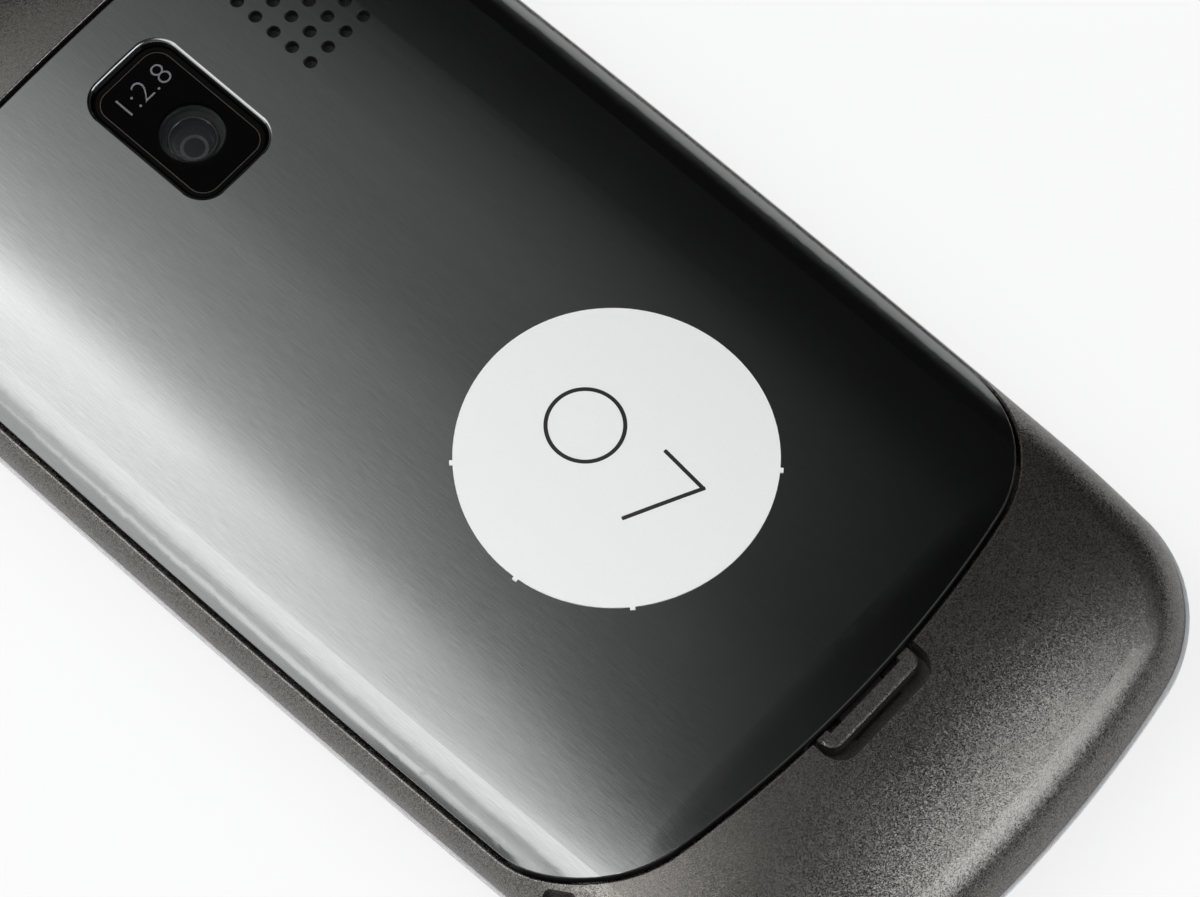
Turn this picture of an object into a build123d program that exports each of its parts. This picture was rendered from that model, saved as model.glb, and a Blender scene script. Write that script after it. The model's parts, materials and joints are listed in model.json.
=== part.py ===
from build123d import *
import os
from math import sqrt

os.makedirs("parts", exist_ok=True)

# The phone lies on its display with its back up. X is its width, Y runs up to its camera end,
# and Z runs out of its back. Every size is in millimetres. A place along Y is worked out from
# an end of the phone, from the cover's seam or from the piece that it lies beside.

# Outer form of the rear half
LENGTH = 112.0
WIDTH = 56.4
THICKNESS = 14.5
BOW_RADIUS = 1667.0
BOW_Y = -1.0
END_RADIUS = 105.0
CORNER_RADIUS = 11.5
CROWN_RADIUS = 117.6
FALL_LENGTH = 21.0
CHIN_RADIUS = 46.0
HEAD_LENGTH = 12.6
HEAD_RADIUS = 40.0
EDGE_RADIUS = 5.5
END_Y = LENGTH / 2
SIDE_X = WIDTH / 2
CHIN_Y = FALL_LENGTH - END_Y
SEAM_Y = END_Y - HEAD_LENGTH
SIDE_BAND = (SIDE_X - 8.2, SIDE_X + 1.8)

# Levels, from the display face up to the back
DISPLAY_TOP = 5.2
SLIDE_GAP = 0.3
FRAME_THICK = 1.0
DOME_ROOM = 1.1
BOARD_THICK = 0.7
FRAME_Z = DISPLAY_TOP + SLIDE_GAP
WALL_Z = FRAME_Z + FRAME_THICK
BOARD_Z = WALL_Z + DOME_ROOM
BOARD_TOP = BOARD_Z + BOARD_THICK
POCKET_Z = BOARD_TOP + 0.1

# Depths of the curved layers under the outer form, and insets from its outline
SKIN = 0.8
LINER_DEPTH = 1.4
DECK_DEPTH = 1.7
CAVITY_DEPTH = 2.65
CARRIER_THICK = 0.8
RING_INSET = 1.2
TRIM_PROUD = 0.12
RIB_INSET = (2.95, 3.8)
BOARD_INSET = 3.4
DOME_INSET = 4.6
BOARD_HALF = SIDE_X - 3.6
BOARD_FOOT = 7.5 - END_Y
BOARD_CORNER = 11.0
POST_RADIUS = 1.2

# Battery cover
SIDE_STRIP = 1.25
CHIN_LENGTH = 17.0
COVER_HALF = SIDE_X - SIDE_STRIP
COVER_FOOT = CHIN_LENGTH - END_Y
COVER_HEAD = SEAM_Y - 0.2
COVER_FOOT_RADIUS = 86.0
COVER_CORNER = 11.0
SIDE_GAP = 0.18
FOOT_GAP = 0.38
HEAD_GAP = 0.36
LIP_ROUND = 0.15
COVER_ROUND = 0.15
WINDOW_Y = SEAM_Y - 11.4
WINDOW_LONG = 13.1
WINDOW_WIDE = 8.1
WINDOW_CORNER = 1.9
WINDOW_DRAFT = 20.0
WINDOW_ROUND = 0.3
BEZEL_RIM = 0.4
GLASS_Z = (THICKNESS - 1.3, THICKNESS - 0.75)
LENS_Y = WINDOW_Y - 1.3
HOLE_X = 10.65
HOLE_PITCH = 2.0
HOLE_COLUMNS = 4
HOLE_ROWS = 5
HOLE_RADIUS = 0.5
HOLE_Y = WINDOW_Y - (HOLE_ROWS - 1) * HOLE_PITCH / 2
SPEAKER_X = HOLE_X + (HOLE_COLUMNS - 1) * HOLE_PITCH / 2
HOOK_X = 5.2
HOOK_HALF = 2.5
HOOK_REACH = 1.5
HOOK_SWING = 1.7
STICKER_X = 1.8
STICKER_Y = -12.6
STICKER_RADIUS = 12.5
STICKER_THICK = 0.1

# Release catch, its recess, its spring and its travel
CATCH_HALF = 5.05
CATCH_Y = (COVER_FOOT - 1.78, COVER_FOOT - 0.6)
CATCH_Z = (THICKNESS - 2.05, THICKNESS - 0.4)
CATCH_TRAVEL = 1.1
CATCH_ARM = 2.3
SLIDER_HALF = 3.9
SLIDER_Y = (COVER_FOOT - 4.4, COVER_FOOT + 0.35)
STEM_Y = (SLIDER_Y[1] - 1.1, SLIDER_Y[1])
SLIDER_Z = (THICKNESS - 3.7, THICKNESS - 3.0)
RECESS_HALF = CATCH_HALF + 0.6
RECESS_Y = CATCH_Y[0] - CATCH_TRAVEL - 0.25
RECESS_CORNER = 1.9
RECESS_Z = CATCH_Z[0] - 0.5
CATCH_ROOM_Y = COVER_FOOT - 9.0
CATCH_ROOM_Z = (THICKNESS - 5.0, THICKNESS - 2.9)
SPRING_THICK = 0.2

# Keypad frame screws, and the battery between their bosses
SCREW_X = SIDE_X - 6.8
SCREW_Y = (13.0, -14.0)
SCREW_HEAD_Z = BOARD_TOP + 1.3
BOSS_RADIUS = 2.4
BATTERY_HALF = SCREW_X - 4.5
BATTERY_Y = (COVER_FOOT + 6.0, WINDOW_Y - 16.0)
BATTERY_Z = (BOARD_TOP + 0.4, THICKNESS - 2.4)
BAY_GAP = 0.25
BAY_WALL = 0.8
BAY_HEAD = BATTERY_Y[1] + 1.6
CONTACT_PITCH = 2.6
CONTACT_HALF = 0.8

# Slide mechanism
DISPLAY_STEP = 1.8
DISPLAY_END_STEP = 1.6
DISPLAY_HALF = SIDE_X - DISPLAY_STEP
DISPLAY_END = END_Y - DISPLAY_END_STEP
GUIDE_X = DISPLAY_HALF - 9.4
GUIDE_HALF = 13.0
NECK_HALF = 1.2
NECK_GAP = 0.3
HEAD_HALF = 2.4
HEAD_GAP_X = 0.4
HEAD_Z = (DISPLAY_TOP - 1.6, DISPLAY_TOP - 0.8)
SLOT_END = 0.15
MOVING_PLATE = 0.5
MOVING_HALF = GUIDE_X + 3.4
SLIDE_TRAVEL = DISPLAY_END - GUIDE_HALF - 4.9
SLOT_Y = (-GUIDE_HALF - SLIDE_TRAVEL - SLOT_END, GUIDE_HALF + SLOT_END)
MOVING_Y = (SLOT_Y[0] - 1.35, SLOT_Y[1] + 2.45)
PLATE_HALF = GUIDE_X + 5.8
PLATE_Y = (-GUIDE_HALF - 3.3, SEAM_Y - 5.6)
PLATE_Z = FRAME_Z + 0.4
FLEX_HALF = 6.0
FLEX_ROOM_HALF = FLEX_HALF + 2.0
FLEX_ROOM_Y = (-4.0, PLATE_Y[1] - 9.8)
FLEX_POCKET_Y = (-17.4, 10.2)
FLEX_MOUTH_Y = (-16.8, -13.2)
FLEX_THICK = 0.15

# Keypad on the front of the rear half
KEY_COLUMNS = 3
KEY_ROWS = 4
KEYPAD_SIDE = 6.3
KEY_PITCH_X = 2 * (SIDE_X - KEYPAD_SIDE) / KEY_COLUMNS
KEY_TOP_Y = PLATE_Y[0] - 7.7
KEY_FOOT_Y = 10.4 - END_Y
KEY_PITCH_Y = (KEY_TOP_Y - KEY_FOOT_Y) / (KEY_ROWS - 1)
KEY_WIDE = KEY_PITCH_X - 1.0
KEY_TALL = KEY_PITCH_Y - 0.8
KEY_CORNER = 1.2
KEY_GAP = 0.1
KEY_FACE = FRAME_Z + 0.1
DOME_RADIUS = 2.3
DOME_Z = (BOARD_Z - 0.35, BOARD_Z - 0.2)

# Side keys
SWITCH_INSET = 4.1
SWITCH_THICK = 0.3
VOLUME_PROUD = 0.3
CAMERA_KEY_PROUD = 0.05
SIDE_KEY_FOOT = (3.1, 3.4)
SIDE_KEY_Z = (WALL_Z + 0.45, BOARD_TOP - 0.1)
SIDE_KEY_GAP = 0.2
VOLUME_Y = (SEAM_Y - 15.2, SEAM_Y - 1.6)
CAMERA_KEY_Y = (20.0 - END_Y, 28.0 - END_Y)

# Display half
DISPLAY_END_RADIUS = 103.0
DISPLAY_CORNER = 10.2
BEZEL_TOP = 1.4
GLASS_FACE = 0.15
LEDGE_Z = 0.95
CHASSIS_Z = (2.6, 3.0)
CASE_WALL = 1.2
RAIL_INSET = 2.3
PLATE_SEAT = 0.15
CASE_FLOOR = DISPLAY_TOP - 1.3
GLASS_INSET = 2.6
FRONT_KEY_ROOM = 37.4
GLASS_FOOT = FRONT_KEY_ROOM - DISPLAY_END
EARPIECE_Y = DISPLAY_END - 7.9
LCD_HALF = DISPLAY_HALF - 6.4
LCD_Y = (GLASS_FOOT + 2.7, EARPIECE_Y - 8.2)
FRONT_KEY_FACE = 0.3
FRONT_KEY_GAP = 0.2
FRONT_FLANGE_Z = (1.55, 1.85)
FRONT_KEY_TOP = 2.1
NAVIGATION_Y = GLASS_FOOT - 16.0
NAVIGATION_HALF = 9.0
SELECT_RADIUS = 3.6
FRONT_KEY_X = (NAVIGATION_HALF + 2.7, DISPLAY_HALF - 3.7)

# Camera, speaker, motor and card holder
CAMERA_HALF = 4.6
FLANGE_HALF = 5.4
BARREL_RADIUS = 3.3
LENS_RADIUS = 2.1
PUPIL_RADIUS = 0.85
BARREL_TOP = GLASS_Z[0] - 0.3
LENS_CROWN = 8.0
SPEAKER_HALF = (4.5, 6.5)
MOTOR_X = 5.0
MOTOR_Y = END_Y - 9.0
MOTOR_Z = BOARD_TOP + 0.9
MOTOR_RADIUS = 1.6
SIM_X = (7.3 - SIDE_X, -5.6)
SIM_Y = (BAY_HEAD + 1.3, WINDOW_Y + 6.6)

# Ports and the strap eyelet
JACK_X = -12.0
JACK_Z = WALL_Z + 2.25
JACK_BORE = 1.8
JACK_NOZZLE = 2.2
JACK_HALF = 2.8
JACK_Y = (END_Y - 16.2, END_Y - 3.5)
JACK_MOUTH = END_Y - 1.4
USB_X = 14.0
USB_HALF = 3.7
USB_Y = (END_Y - 6.2, END_Y - 1.7)
USB_Z = (WALL_Z + 0.1, WALL_Z + 2.55)
EYELET_X = 1.65 - SIDE_X
EYELET_Y = 23.4 - END_Y
EYELET_TURN = 25
EYELET_Z = WALL_Z + 0.4


def save(name, solid):
    export_step(solid, f"parts/{name}.step")


def block(x, y, z):
    size = Box(x[1] - x[0], y[1] - y[0], z[1] - z[0])
    return Pos((x[0] + x[1]) / 2, (y[0] + y[1]) / 2, (z[0] + z[1]) / 2) * size


def rod(x, y, z, radius):
    return Pos(x, y, (z[0] + z[1]) / 2) * Cylinder(radius, z[1] - z[0])


def sheet(face, z):
    return extrude(Pos(0, 0, z[0]) * face, amount=z[1] - z[0])


def pad(x, y, wide, tall, corner, z):
    return sheet(Pos(x, y) * RectangleRounded(wide, tall, corner), z)


def mirrored(solid):
    return solid + mirror(solid, Plane.YZ)


def widened(span, amount):
    return span[0] - amount, span[1] + amount


def around(middle, half):
    return middle - half, middle + half


def side_x(half_width, y):
    return half_width - BOW_RADIUS + sqrt(BOW_RADIUS**2 - (y - BOW_Y) ** 2)


def corner_point(half_width, end_y, end_radius, inward):
    """Where a bowed side, drawn on without its corner, meets the end arc."""
    x = half_width
    for _ in range(12):
        y = end_y + inward * (end_radius - sqrt(end_radius**2 - x**2))
        x = side_x(half_width, y)
    return x, y


def bowed_face(half_width, low, high, end_radius, flat_head=False):
    """An outline with bowed sides, an arched foot, and a head that is arched or straight."""
    foot_x, foot_y = corner_point(half_width, low, end_radius, 1)
    if flat_head:
        head_x, head_y = side_x(half_width, high), high
    else:
        head_x, head_y = corner_point(half_width, high, end_radius, -1)
    mid_y = 0.5 * (foot_y + head_y)
    mid_x = side_x(half_width, mid_y)
    if flat_head:
        head = Line((head_x, head_y), (-head_x, head_y))
    else:
        head = ThreePointArc((head_x, head_y), (0, high), (-head_x, head_y))
    return make_face([
        ThreePointArc((foot_x, foot_y), (mid_x, mid_y), (head_x, head_y)),
        head,
        ThreePointArc((-head_x, head_y), (-mid_x, mid_y), (-foot_x, foot_y)),
        ThreePointArc((-foot_x, foot_y), (0, low), (foot_x, foot_y)),
    ])


def phone_face(inset):
    face = bowed_face(SIDE_X - inset, inset - END_Y, END_Y - inset, END_RADIUS - inset)
    return fillet(face.vertices(), CORNER_RADIUS - inset)


def display_face(inset):
    end = DISPLAY_END - inset
    face = bowed_face(DISPLAY_HALF - inset, -end, end, DISPLAY_END_RADIUS - inset)
    return fillet(face.vertices(), DISPLAY_CORNER - inset)


def cover_face(side, foot, head):
    low = COVER_FOOT - foot
    high = COVER_HEAD + head
    face = bowed_face(COVER_HALF + side, low, high, COVER_FOOT_RADIUS, flat_head=True)
    foot_corners = [v for v in face.vertices() if v.Y < 0]
    face = fillet(foot_corners, COVER_CORNER + side)
    head_corners = [v for v in face.vertices() if v.Y > high - 0.1]
    return fillet(head_corners, 0.6)


def crown_section(y, inset):
    """The arched slice that the crown is drawn from, wider and deeper than the phone."""
    half = SIDE_X + 11.8
    low = -6.0
    centre = THICKNESS - CROWN_RADIUS
    edge_z = centre + sqrt((CROWN_RADIUS - inset) ** 2 - half**2)
    return make_face([
        ThreePointArc((-half, y, edge_z), (0, y, THICKNESS - inset), (half, y, edge_z)),
        Line((half, y, edge_z), (half, y, low)),
        Line((half, y, low), (-half, y, low)),
        Line((-half, y, low), (-half, y, edge_z)),
    ])


def crown(inset):
    """The arched block that gives the back its crown, its falling chin and its falling head."""
    middle = extrude(crown_section(CHIN_Y, inset), amount=SEAM_Y - CHIN_Y, dir=(0, 1, 0))
    chin_axis = Axis((0, CHIN_Y, THICKNESS - CHIN_RADIUS), (1, 0, 0))
    head_axis = Axis((0, SEAM_Y, THICKNESS - HEAD_RADIUS), (-1, 0, 0))
    chin = revolve(crown_section(CHIN_Y, inset), chin_axis, 40)
    head = revolve(crown_section(SEAM_Y, inset), head_axis, 40)
    return middle + chin + head


def is_rim(edge):
    middle = edge.center()
    straight = edge.geom_type == GeomType.LINE
    across = abs(middle.X) < 1 and abs(middle.Y) < END_Y - 6
    return middle.Z > 4 and not straight and not across


def back_form(inset):
    """The whole rear half as one solid, drawn in by the inset all round and rounded at its rim."""
    form = sheet(phone_face(inset), (2, 22)) & crown(inset)
    form = fillet([edge for edge in form.edges() if is_rim(edge)], EDGE_RADIUS - inset)
    return form & block((-60, 60), (-80, 80), (WALL_Z, 30))


CARRIER_DEPTH = CAVITY_DEPTH + CARRIER_THICK
CLOTH_DEPTH = SKIN + 0.2
FORM = {depth: back_form(depth) for depth in (
    -STICKER_THICK, 0.0, SKIN, CLOTH_DEPTH, LINER_DEPTH, DECK_DEPTH, CAVITY_DEPTH, CARRIER_DEPTH)}


def layer(outer, inner):
    return FORM[outer] - FORM[inner]


def outer_rim(solid, face):
    """The edges of a solid that stand over a face's outline and lie on the outside of the back."""
    outline = face.wire()
    rim = []
    for edge in solid.edges():
        middle = edge @ 0.5
        above = Vector(middle.X, middle.Y, middle.Z + 0.3)
        if Vertex(middle.X, middle.Y, 0).distance_to(outline) < 0.02 and not FORM[0.0].solid().is_inside(above):
            rim.append(edge)
    return rim


def window_prism(grow, z):
    return pad(0, WINDOW_Y, WINDOW_WIDE + 2 * grow, WINDOW_LONG + 2 * grow, WINDOW_CORNER + grow, z)


def key_places():
    names = ("1", "2", "3", "4", "5", "6", "7", "8", "9", "star", "0", "hash")
    for index, name in enumerate(names):
        x = (1 - index % KEY_COLUMNS) * KEY_PITCH_X
        y = KEY_TOP_Y - (index // KEY_COLUMNS) * KEY_PITCH_Y
        yield f"key_{name}", x, y


def screw_places():
    return [(side * SCREW_X, y) for side in (-1, 1) for y in SCREW_Y]


# Rear half

def bay_walls():
    half = BATTERY_HALF + BAY_GAP + BAY_WALL
    walls = block((-half, half), (BATTERY_Y[0] - BAY_GAP - BAY_WALL, BAY_HEAD + BAY_WALL), (BOARD_TOP, 20))
    return walls & FORM[DECK_DEPTH]


def bay_room():
    half = BATTERY_HALF + BAY_GAP
    return block((-half, half), (BATTERY_Y[0] - BAY_GAP, BAY_HEAD), (BATTERY_Z[0], 20))


def catch_recess():
    """The finger recess round the catch, the slot for its stem and the room for its slider."""
    reach = COVER_FOOT - 0.6 - RECESS_Y
    foot = pad(0, COVER_FOOT - 0.6, 2 * RECESS_HALF, 2 * reach, RECESS_CORNER, (RECESS_Z, 20))
    slot = block(around(0, CATCH_ARM + 0.3), (STEM_Y[0] - CATCH_TRAVEL - 0.1, STEM_Y[1] + 0.1), (10, 20))
    room = block(around(0, SLIDER_HALF + 0.5), (CATCH_ROOM_Y, COVER_FOOT + 1.0), CATCH_ROOM_Z)
    return foot + slot + room


def hook_pockets():
    wide = around(HOOK_X, HOOK_HALF + 0.3)
    return mirrored(block(wide, (SEAM_Y - 2.5, SEAM_Y + HOOK_REACH + HOOK_SWING), (11.4, 12.95)))


def deck_windows():
    camera = rod(0, LENS_Y, (10, 20), BARREL_RADIUS + 0.4)
    sim = pad(-13.1, WINDOW_Y - 3.0, 13.6, 19.0, 1.0, (9, 20))
    speaker = pad(SPEAKER_X, WINDOW_Y - 2.8, 7.5, 4.6, 0.8, (9, 20))
    speaker += pad(SPEAKER_X, WINDOW_Y + 2.8, 7.5, 4.6, 0.8, (9, 20))
    return camera + sim + speaker


def jack_room():
    body = block(around(JACK_X, JACK_HALF + 0.2), (JACK_Y[0] - 0.3, JACK_Y[1]), (WALL_Z, JACK_Z + 2.5))
    mouth = Pos(JACK_X, END_Y - 2, JACK_Z) * Rot(90, 0, 0) * Cylinder(JACK_NOZZLE, 8)
    return body + mouth


def usb_room():
    body = block(around(USB_X, USB_HALF + 0.3), (USB_Y[0] - 0.8, USB_Y[0] + 1.7), (WALL_Z, USB_Z[1] + 0.2))
    middle = (USB_Z[0] + USB_Z[1]) / 2
    mouth = Rot(90, 0, 0) * RectangleRounded(2 * USB_HALF + 0.2, USB_Z[1] - USB_Z[0] + 0.15, 0.7)
    return body + extrude(Pos(USB_X, END_Y - 6, middle) * mouth, amount=8, dir=(0, 1, 0))


def strap_eyelet():
    """A tunnel behind a bar: in from the shoulder and out of the side wall."""
    mouth = Pos(EYELET_X, EYELET_Y) * Rot(0, 0, EYELET_TURN) * RectangleRounded(1.3, 2.6, 0.5)
    side = block((-SIDE_BAND[1], EYELET_X + 0.4), around(EYELET_Y, 1.3), (EYELET_Z, EYELET_Z + 0.9))
    return sheet(mouth, (EYELET_Z, 20)) + side


def side_key_mouths():
    wall = (SIDE_X - 4.2, SIDE_BAND[1])
    tall = widened(SIDE_KEY_Z, 0.1)
    volume = block(wall, widened(VOLUME_Y, SIDE_KEY_GAP), tall)
    return volume + block(wall, widened(CAMERA_KEY_Y, SIDE_KEY_GAP), tall)


def rear_housing():
    outline = cover_face(SIDE_GAP, FOOT_GAP, HEAD_GAP)
    shell = layer(0.0, CAVITY_DEPTH) - (sheet(outline, (POCKET_Z, 30)) - FORM[DECK_DEPTH])
    shell = fillet(outer_rim(shell, outline), LIP_ROUND) + bay_walls()
    for x, y in screw_places():
        shell += rod(x, y, (BOARD_TOP, 20), BOSS_RADIUS) & FORM[DECK_DEPTH]
        shell -= rod(x, y, (SCREW_HEAD_Z, 20), BOSS_RADIUS - 0.5)
        shell -= rod(x, y, (FRAME_Z, 20), 1.0)
    for cut in (bay_room(), catch_recess(), hook_pockets(), deck_windows(), jack_room(),
                usb_room(), strap_eyelet(), side_key_mouths()):
        shell -= cut
    return shell


def trim_ring():
    ring = sheet(phone_face(-TRIM_PROUD), (FRAME_Z, WALL_Z)) - sheet(phone_face(RING_INSET), (5, 7))
    rim = [e for e in ring.edges() if abs(e.center().Z - FRAME_Z) < 0.01 and e.length > 6]
    outer = [e for e in rim if abs(e.center().X) > SIDE_X - 0.5 or abs(e.center().Y) > END_Y - 0.5]
    return chamfer(outer, 0.2)


def frame_posts():
    head_y = SEAM_Y - 1.9
    foot_y = KEY_TOP_Y + 5.6
    return (15.0, head_y), (-19.5, head_y), (8.0, foot_y), (-8.0, foot_y)


def keypad_frame():
    frame = sheet(phone_face(RING_INSET), (FRAME_Z, WALL_Z))
    for name, x, y in key_places():
        frame -= pad(x, y, KEY_WIDE + 2 * KEY_GAP, KEY_TALL + 2 * KEY_GAP, KEY_CORNER + KEY_GAP, (5, 7))
    frame -= block((-PLATE_HALF, PLATE_HALF), PLATE_Y, (5, PLATE_Z))
    frame -= block((-FLEX_ROOM_HALF, FLEX_ROOM_HALF), FLEX_ROOM_Y, (5, 7))
    rib = sheet(phone_face(RIB_INSET[0]) - phone_face(RIB_INSET[1]), (WALL_Z, BOARD_Z))
    frame += rib & block((-40, 40), (KEY_TOP_Y + 8.0, VOLUME_Y[0] - 4.2), (5, 9))
    for x, y in screw_places():
        frame += rod(x, y, (WALL_Z, BOARD_Z), 1.9)
        frame -= rod(x, y, (WALL_Z - 0.4, BOARD_TOP), 0.8)
    for x, y in frame_posts():
        frame += rod(x, y, (WALL_Z, BOARD_Z), POST_RADIUS)
    return frame


def main_board():
    board = sheet(phone_face(BOARD_INSET), (BOARD_Z, BOARD_TOP))
    head = END_Y + 4
    board &= pad(0, (BOARD_FOOT + head) / 2, 2 * BOARD_HALF, head - BOARD_FOOT, BOARD_CORNER, (7, 9))
    board -= block(around(0, CAMERA_HALF + 0.2), around(LENS_Y, CAMERA_HALF + 0.2), (7, 9))
    board -= block((MOTOR_X - 3.5, MOTOR_X + 7.5), around(MOTOR_Y, MOTOR_RADIUS + 0.5), (7, 9))
    board -= block(around(USB_X, USB_HALF + 0.3), (USB_Y[0] - 0.2, head), (7, 9))
    board -= block(around(JACK_X, JACK_HALF + 0.2), (JACK_Y[0] - 0.4, head), (7, 9))
    rim = sheet(phone_face(0.0) - phone_face(SWITCH_INSET + SWITCH_THICK), (7, 9))
    board -= rim & block(SIDE_BAND, widened(VOLUME_Y, 1.8), (7, 9))
    board -= rim & block(SIDE_BAND, widened(CAMERA_KEY_Y, 1.8), (7, 9))
    for x, y in screw_places():
        board -= rod(x, y, (7, 9), 1.0)
    for step in (4.1, 8.6, 13.1):
        chip_x = BOARD_HALF - step
        board += block(around(chip_x, 1.7), (BAY_HEAD + 2.4, BAY_HEAD + 6.0), (BOARD_TOP, BOARD_TOP + 0.7))
    return board


def dome_sheet():
    side = KEY_PITCH_X + KEY_WIDE / 2 + 0.4
    keypad = block((-side, side), (KEY_FOOT_Y - 4.0, KEY_TOP_Y + 3.8), (7, 9))
    domes = sheet(phone_face(DOME_INSET), (DOME_Z[1], BOARD_Z)) & keypad
    for name, x, y in key_places():
        domes += rod(x, y, DOME_Z, DOME_RADIUS)
    return domes


def hollow_can(x, y, top):
    can = block(x, y, (BOARD_TOP, top))
    room = block(widened(x, -0.2), widened(y, -0.2), (BOARD_TOP, top - 0.2))
    return chamfer(can.edges().group_by(Axis.Z)[-1], 0.15) - room


def shield_cans():
    radio = hollow_can((JACK_X + 3.6, MOTOR_X - 4.1), (END_Y - 17.0, END_Y - 5.0), BOARD_TOP + 1.3)
    keypad_side = hollow_can((-9.0, 9.0), (BOARD_FOOT + 1.0, BATTERY_Y[0] - 3.5), BOARD_TOP + 1.0)
    return radio + keypad_side


def contact_columns():
    return -CONTACT_PITCH, 0.0, CONTACT_PITCH


def battery():
    pack = block((-BATTERY_HALF, BATTERY_HALF), BATTERY_Y, BATTERY_Z)
    pack = fillet(pack.edges().filter_by(Axis.Z), 1.0)
    pack = fillet(pack.edges().group_by(Axis.Z)[-1], 0.4)
    for x in contact_columns():
        pack -= block(around(x, CONTACT_HALF + 0.1), (BATTERY_Y[1] - 0.15, BATTERY_Y[1] + 0.1), (9.2, 10.6))
    thumb = Pos(0, BATTERY_Y[0], BATTERY_Z[1]) * Rot(0, 90, 0) * Cylinder(0.5, 14)
    return pack - thumb


def battery_contacts():
    face = BATTERY_Y[1]
    holder = block((-4.4, 4.4), (face + 0.5, BAY_HEAD), (BATTERY_Z[0], 10.9))
    spring = [(1.2, 9.0), (0.3, 9.3), (0.1, 9.9), (0.6, 10.6), (1.2, 10.7)]
    for x in contact_columns():
        holder -= block(around(x, CONTACT_HALF), (face + 0.4, face + 1.2), (9.0, 11))
        leaf = Plane.YZ.offset(x) * trace(Polyline(*[(face + y, z) for y, z in spring]), 0.15)
        holder += extrude(leaf, amount=0.5, both=True)
    return holder


def sim_holder():
    cage = block(SIM_X, SIM_Y, (BOARD_TOP, BOARD_TOP + 1.2))
    cage -= block(widened(SIM_X, -0.5), (SIM_Y[0] - 0.9, SIM_Y[1] - 0.5), (BOARD_TOP + 0.3, BOARD_TOP + 1.0))
    cage -= pad(SIM_X[1] - 7.7, SIM_Y[0] + 8.5, 8.0, 12.0, 1.0, (BOARD_TOP + 0.9, BOARD_TOP + 1.3))
    for row in range(3):
        for x in (SIM_X[1] - 11.0, SIM_X[1] - 4.4):
            y = SIM_Y[0] + 5.1 + 3 * row
            cage += block(around(x, 0.6), around(y, 1.0), (BOARD_TOP + 0.3, BOARD_TOP + 0.5))
    return cage


def camera_module():
    body = block(around(0, CAMERA_HALF), around(LENS_Y, CAMERA_HALF), (BOARD_Z - 0.6, BARREL_TOP - 1.9))
    body = chamfer(body.edges().group_by(Axis.Z)[-1], 0.3)
    flange = block(around(0, FLANGE_HALF), around(LENS_Y, FLANGE_HALF), (BOARD_TOP, BOARD_TOP + 0.6))
    module = body + flange + rod(0, LENS_Y, (BARREL_TOP - 2.0, BARREL_TOP), BARREL_RADIUS)
    for depth, radius in ((0.5, 2.55), (1.1, LENS_RADIUS), (1.9, 1.6), (2.5, PUPIL_RADIUS)):
        module -= rod(0, LENS_Y, (BARREL_TOP - depth, BARREL_TOP + 0.1), radius)
    return module


def camera_lens():
    """The front element: a disc with a shallow spherical face, seated on the barrel's first step."""
    top = BARREL_TOP - 0.15
    disc = rod(0, LENS_Y, (BARREL_TOP - 1.0, top), LENS_RADIUS)
    ball = Pos(0, LENS_Y, top - LENS_CROWN) * Sphere(LENS_CROWN)
    return disc & ball


def speaker():
    wide, tall = 2 * SPEAKER_HALF[0], 2 * SPEAKER_HALF[1]
    top = BOARD_TOP + 1.9
    can = pad(SPEAKER_X, WINDOW_Y, wide, tall, 1.6, (BOARD_TOP, top))
    groove = pad(SPEAKER_X, WINDOW_Y, wide - 1.6, tall - 1.6, 1.2, (top - 0.3, top + 0.2))
    island = pad(SPEAKER_X, WINDOW_Y, wide - 3.6, tall - 3.6, 1.0, (top - 0.3, top + 0.2))
    return can - (groove - island)


def vibration_motor():
    can = Pos(MOTOR_X, MOTOR_Y, MOTOR_Z) * Rot(0, 90, 0) * Cylinder(MOTOR_RADIUS, 6.0)
    clip = block(around(MOTOR_X, 2.4), around(MOTOR_Y, 2.8), (BOARD_TOP, BOARD_TOP + 0.3))
    return can + clip


def motor_weight():
    x = MOTOR_X + 5.2
    shaft = Pos(x - 0.4, MOTOR_Y, MOTOR_Z) * Rot(0, 90, 0) * Cylinder(0.35, 3.4)
    disc = Pos(x, MOTOR_Y, MOTOR_Z) * Rot(0, 90, 0) * Cylinder(MOTOR_RADIUS - 0.1, 2.6)
    half = disc & block(around(x, 2.0), around(MOTOR_Y, 3.0), (MOTOR_Z - 2.2, MOTOR_Z + 0.1))
    return shaft + half


def headset_jack():
    body = block(around(JACK_X, JACK_HALF), JACK_Y, (WALL_Z, JACK_Z + 2.35))
    length = JACK_MOUTH - JACK_Y[1]
    nozzle = Pos(JACK_X, JACK_Y[1] + length / 2, JACK_Z) * Rot(90, 0, 0) * Cylinder(JACK_NOZZLE, length)
    bore = JACK_MOUTH - JACK_Y[0] - 0.6
    hole = Pos(JACK_X, JACK_MOUTH - bore / 2, JACK_Z) * Rot(90, 0, 0) * Cylinder(JACK_BORE, bore)
    return body + nozzle - hole


def usb_socket():
    wide = around(USB_X, USB_HALF)
    shell = block(wide, USB_Y, USB_Z)
    shell = fillet(shell.edges().filter_by(Axis.Y), 0.6)
    room = block(widened(wide, -0.3), (USB_Y[0] + 0.4, END_Y + 4), widened(USB_Z, -0.3))
    tongue = block(around(USB_X, 2.6), (USB_Y[0] + 0.3, USB_Y[1] - 0.6), (WALL_Z + 1.4, WALL_Z + 2.0))
    tail = block(around(USB_X, 2.8), (USB_Y[0] - 0.6, USB_Y[0] + 0.1), (BOARD_TOP, BOARD_TOP + 0.3))
    return shell - room + tongue + tail


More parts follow.
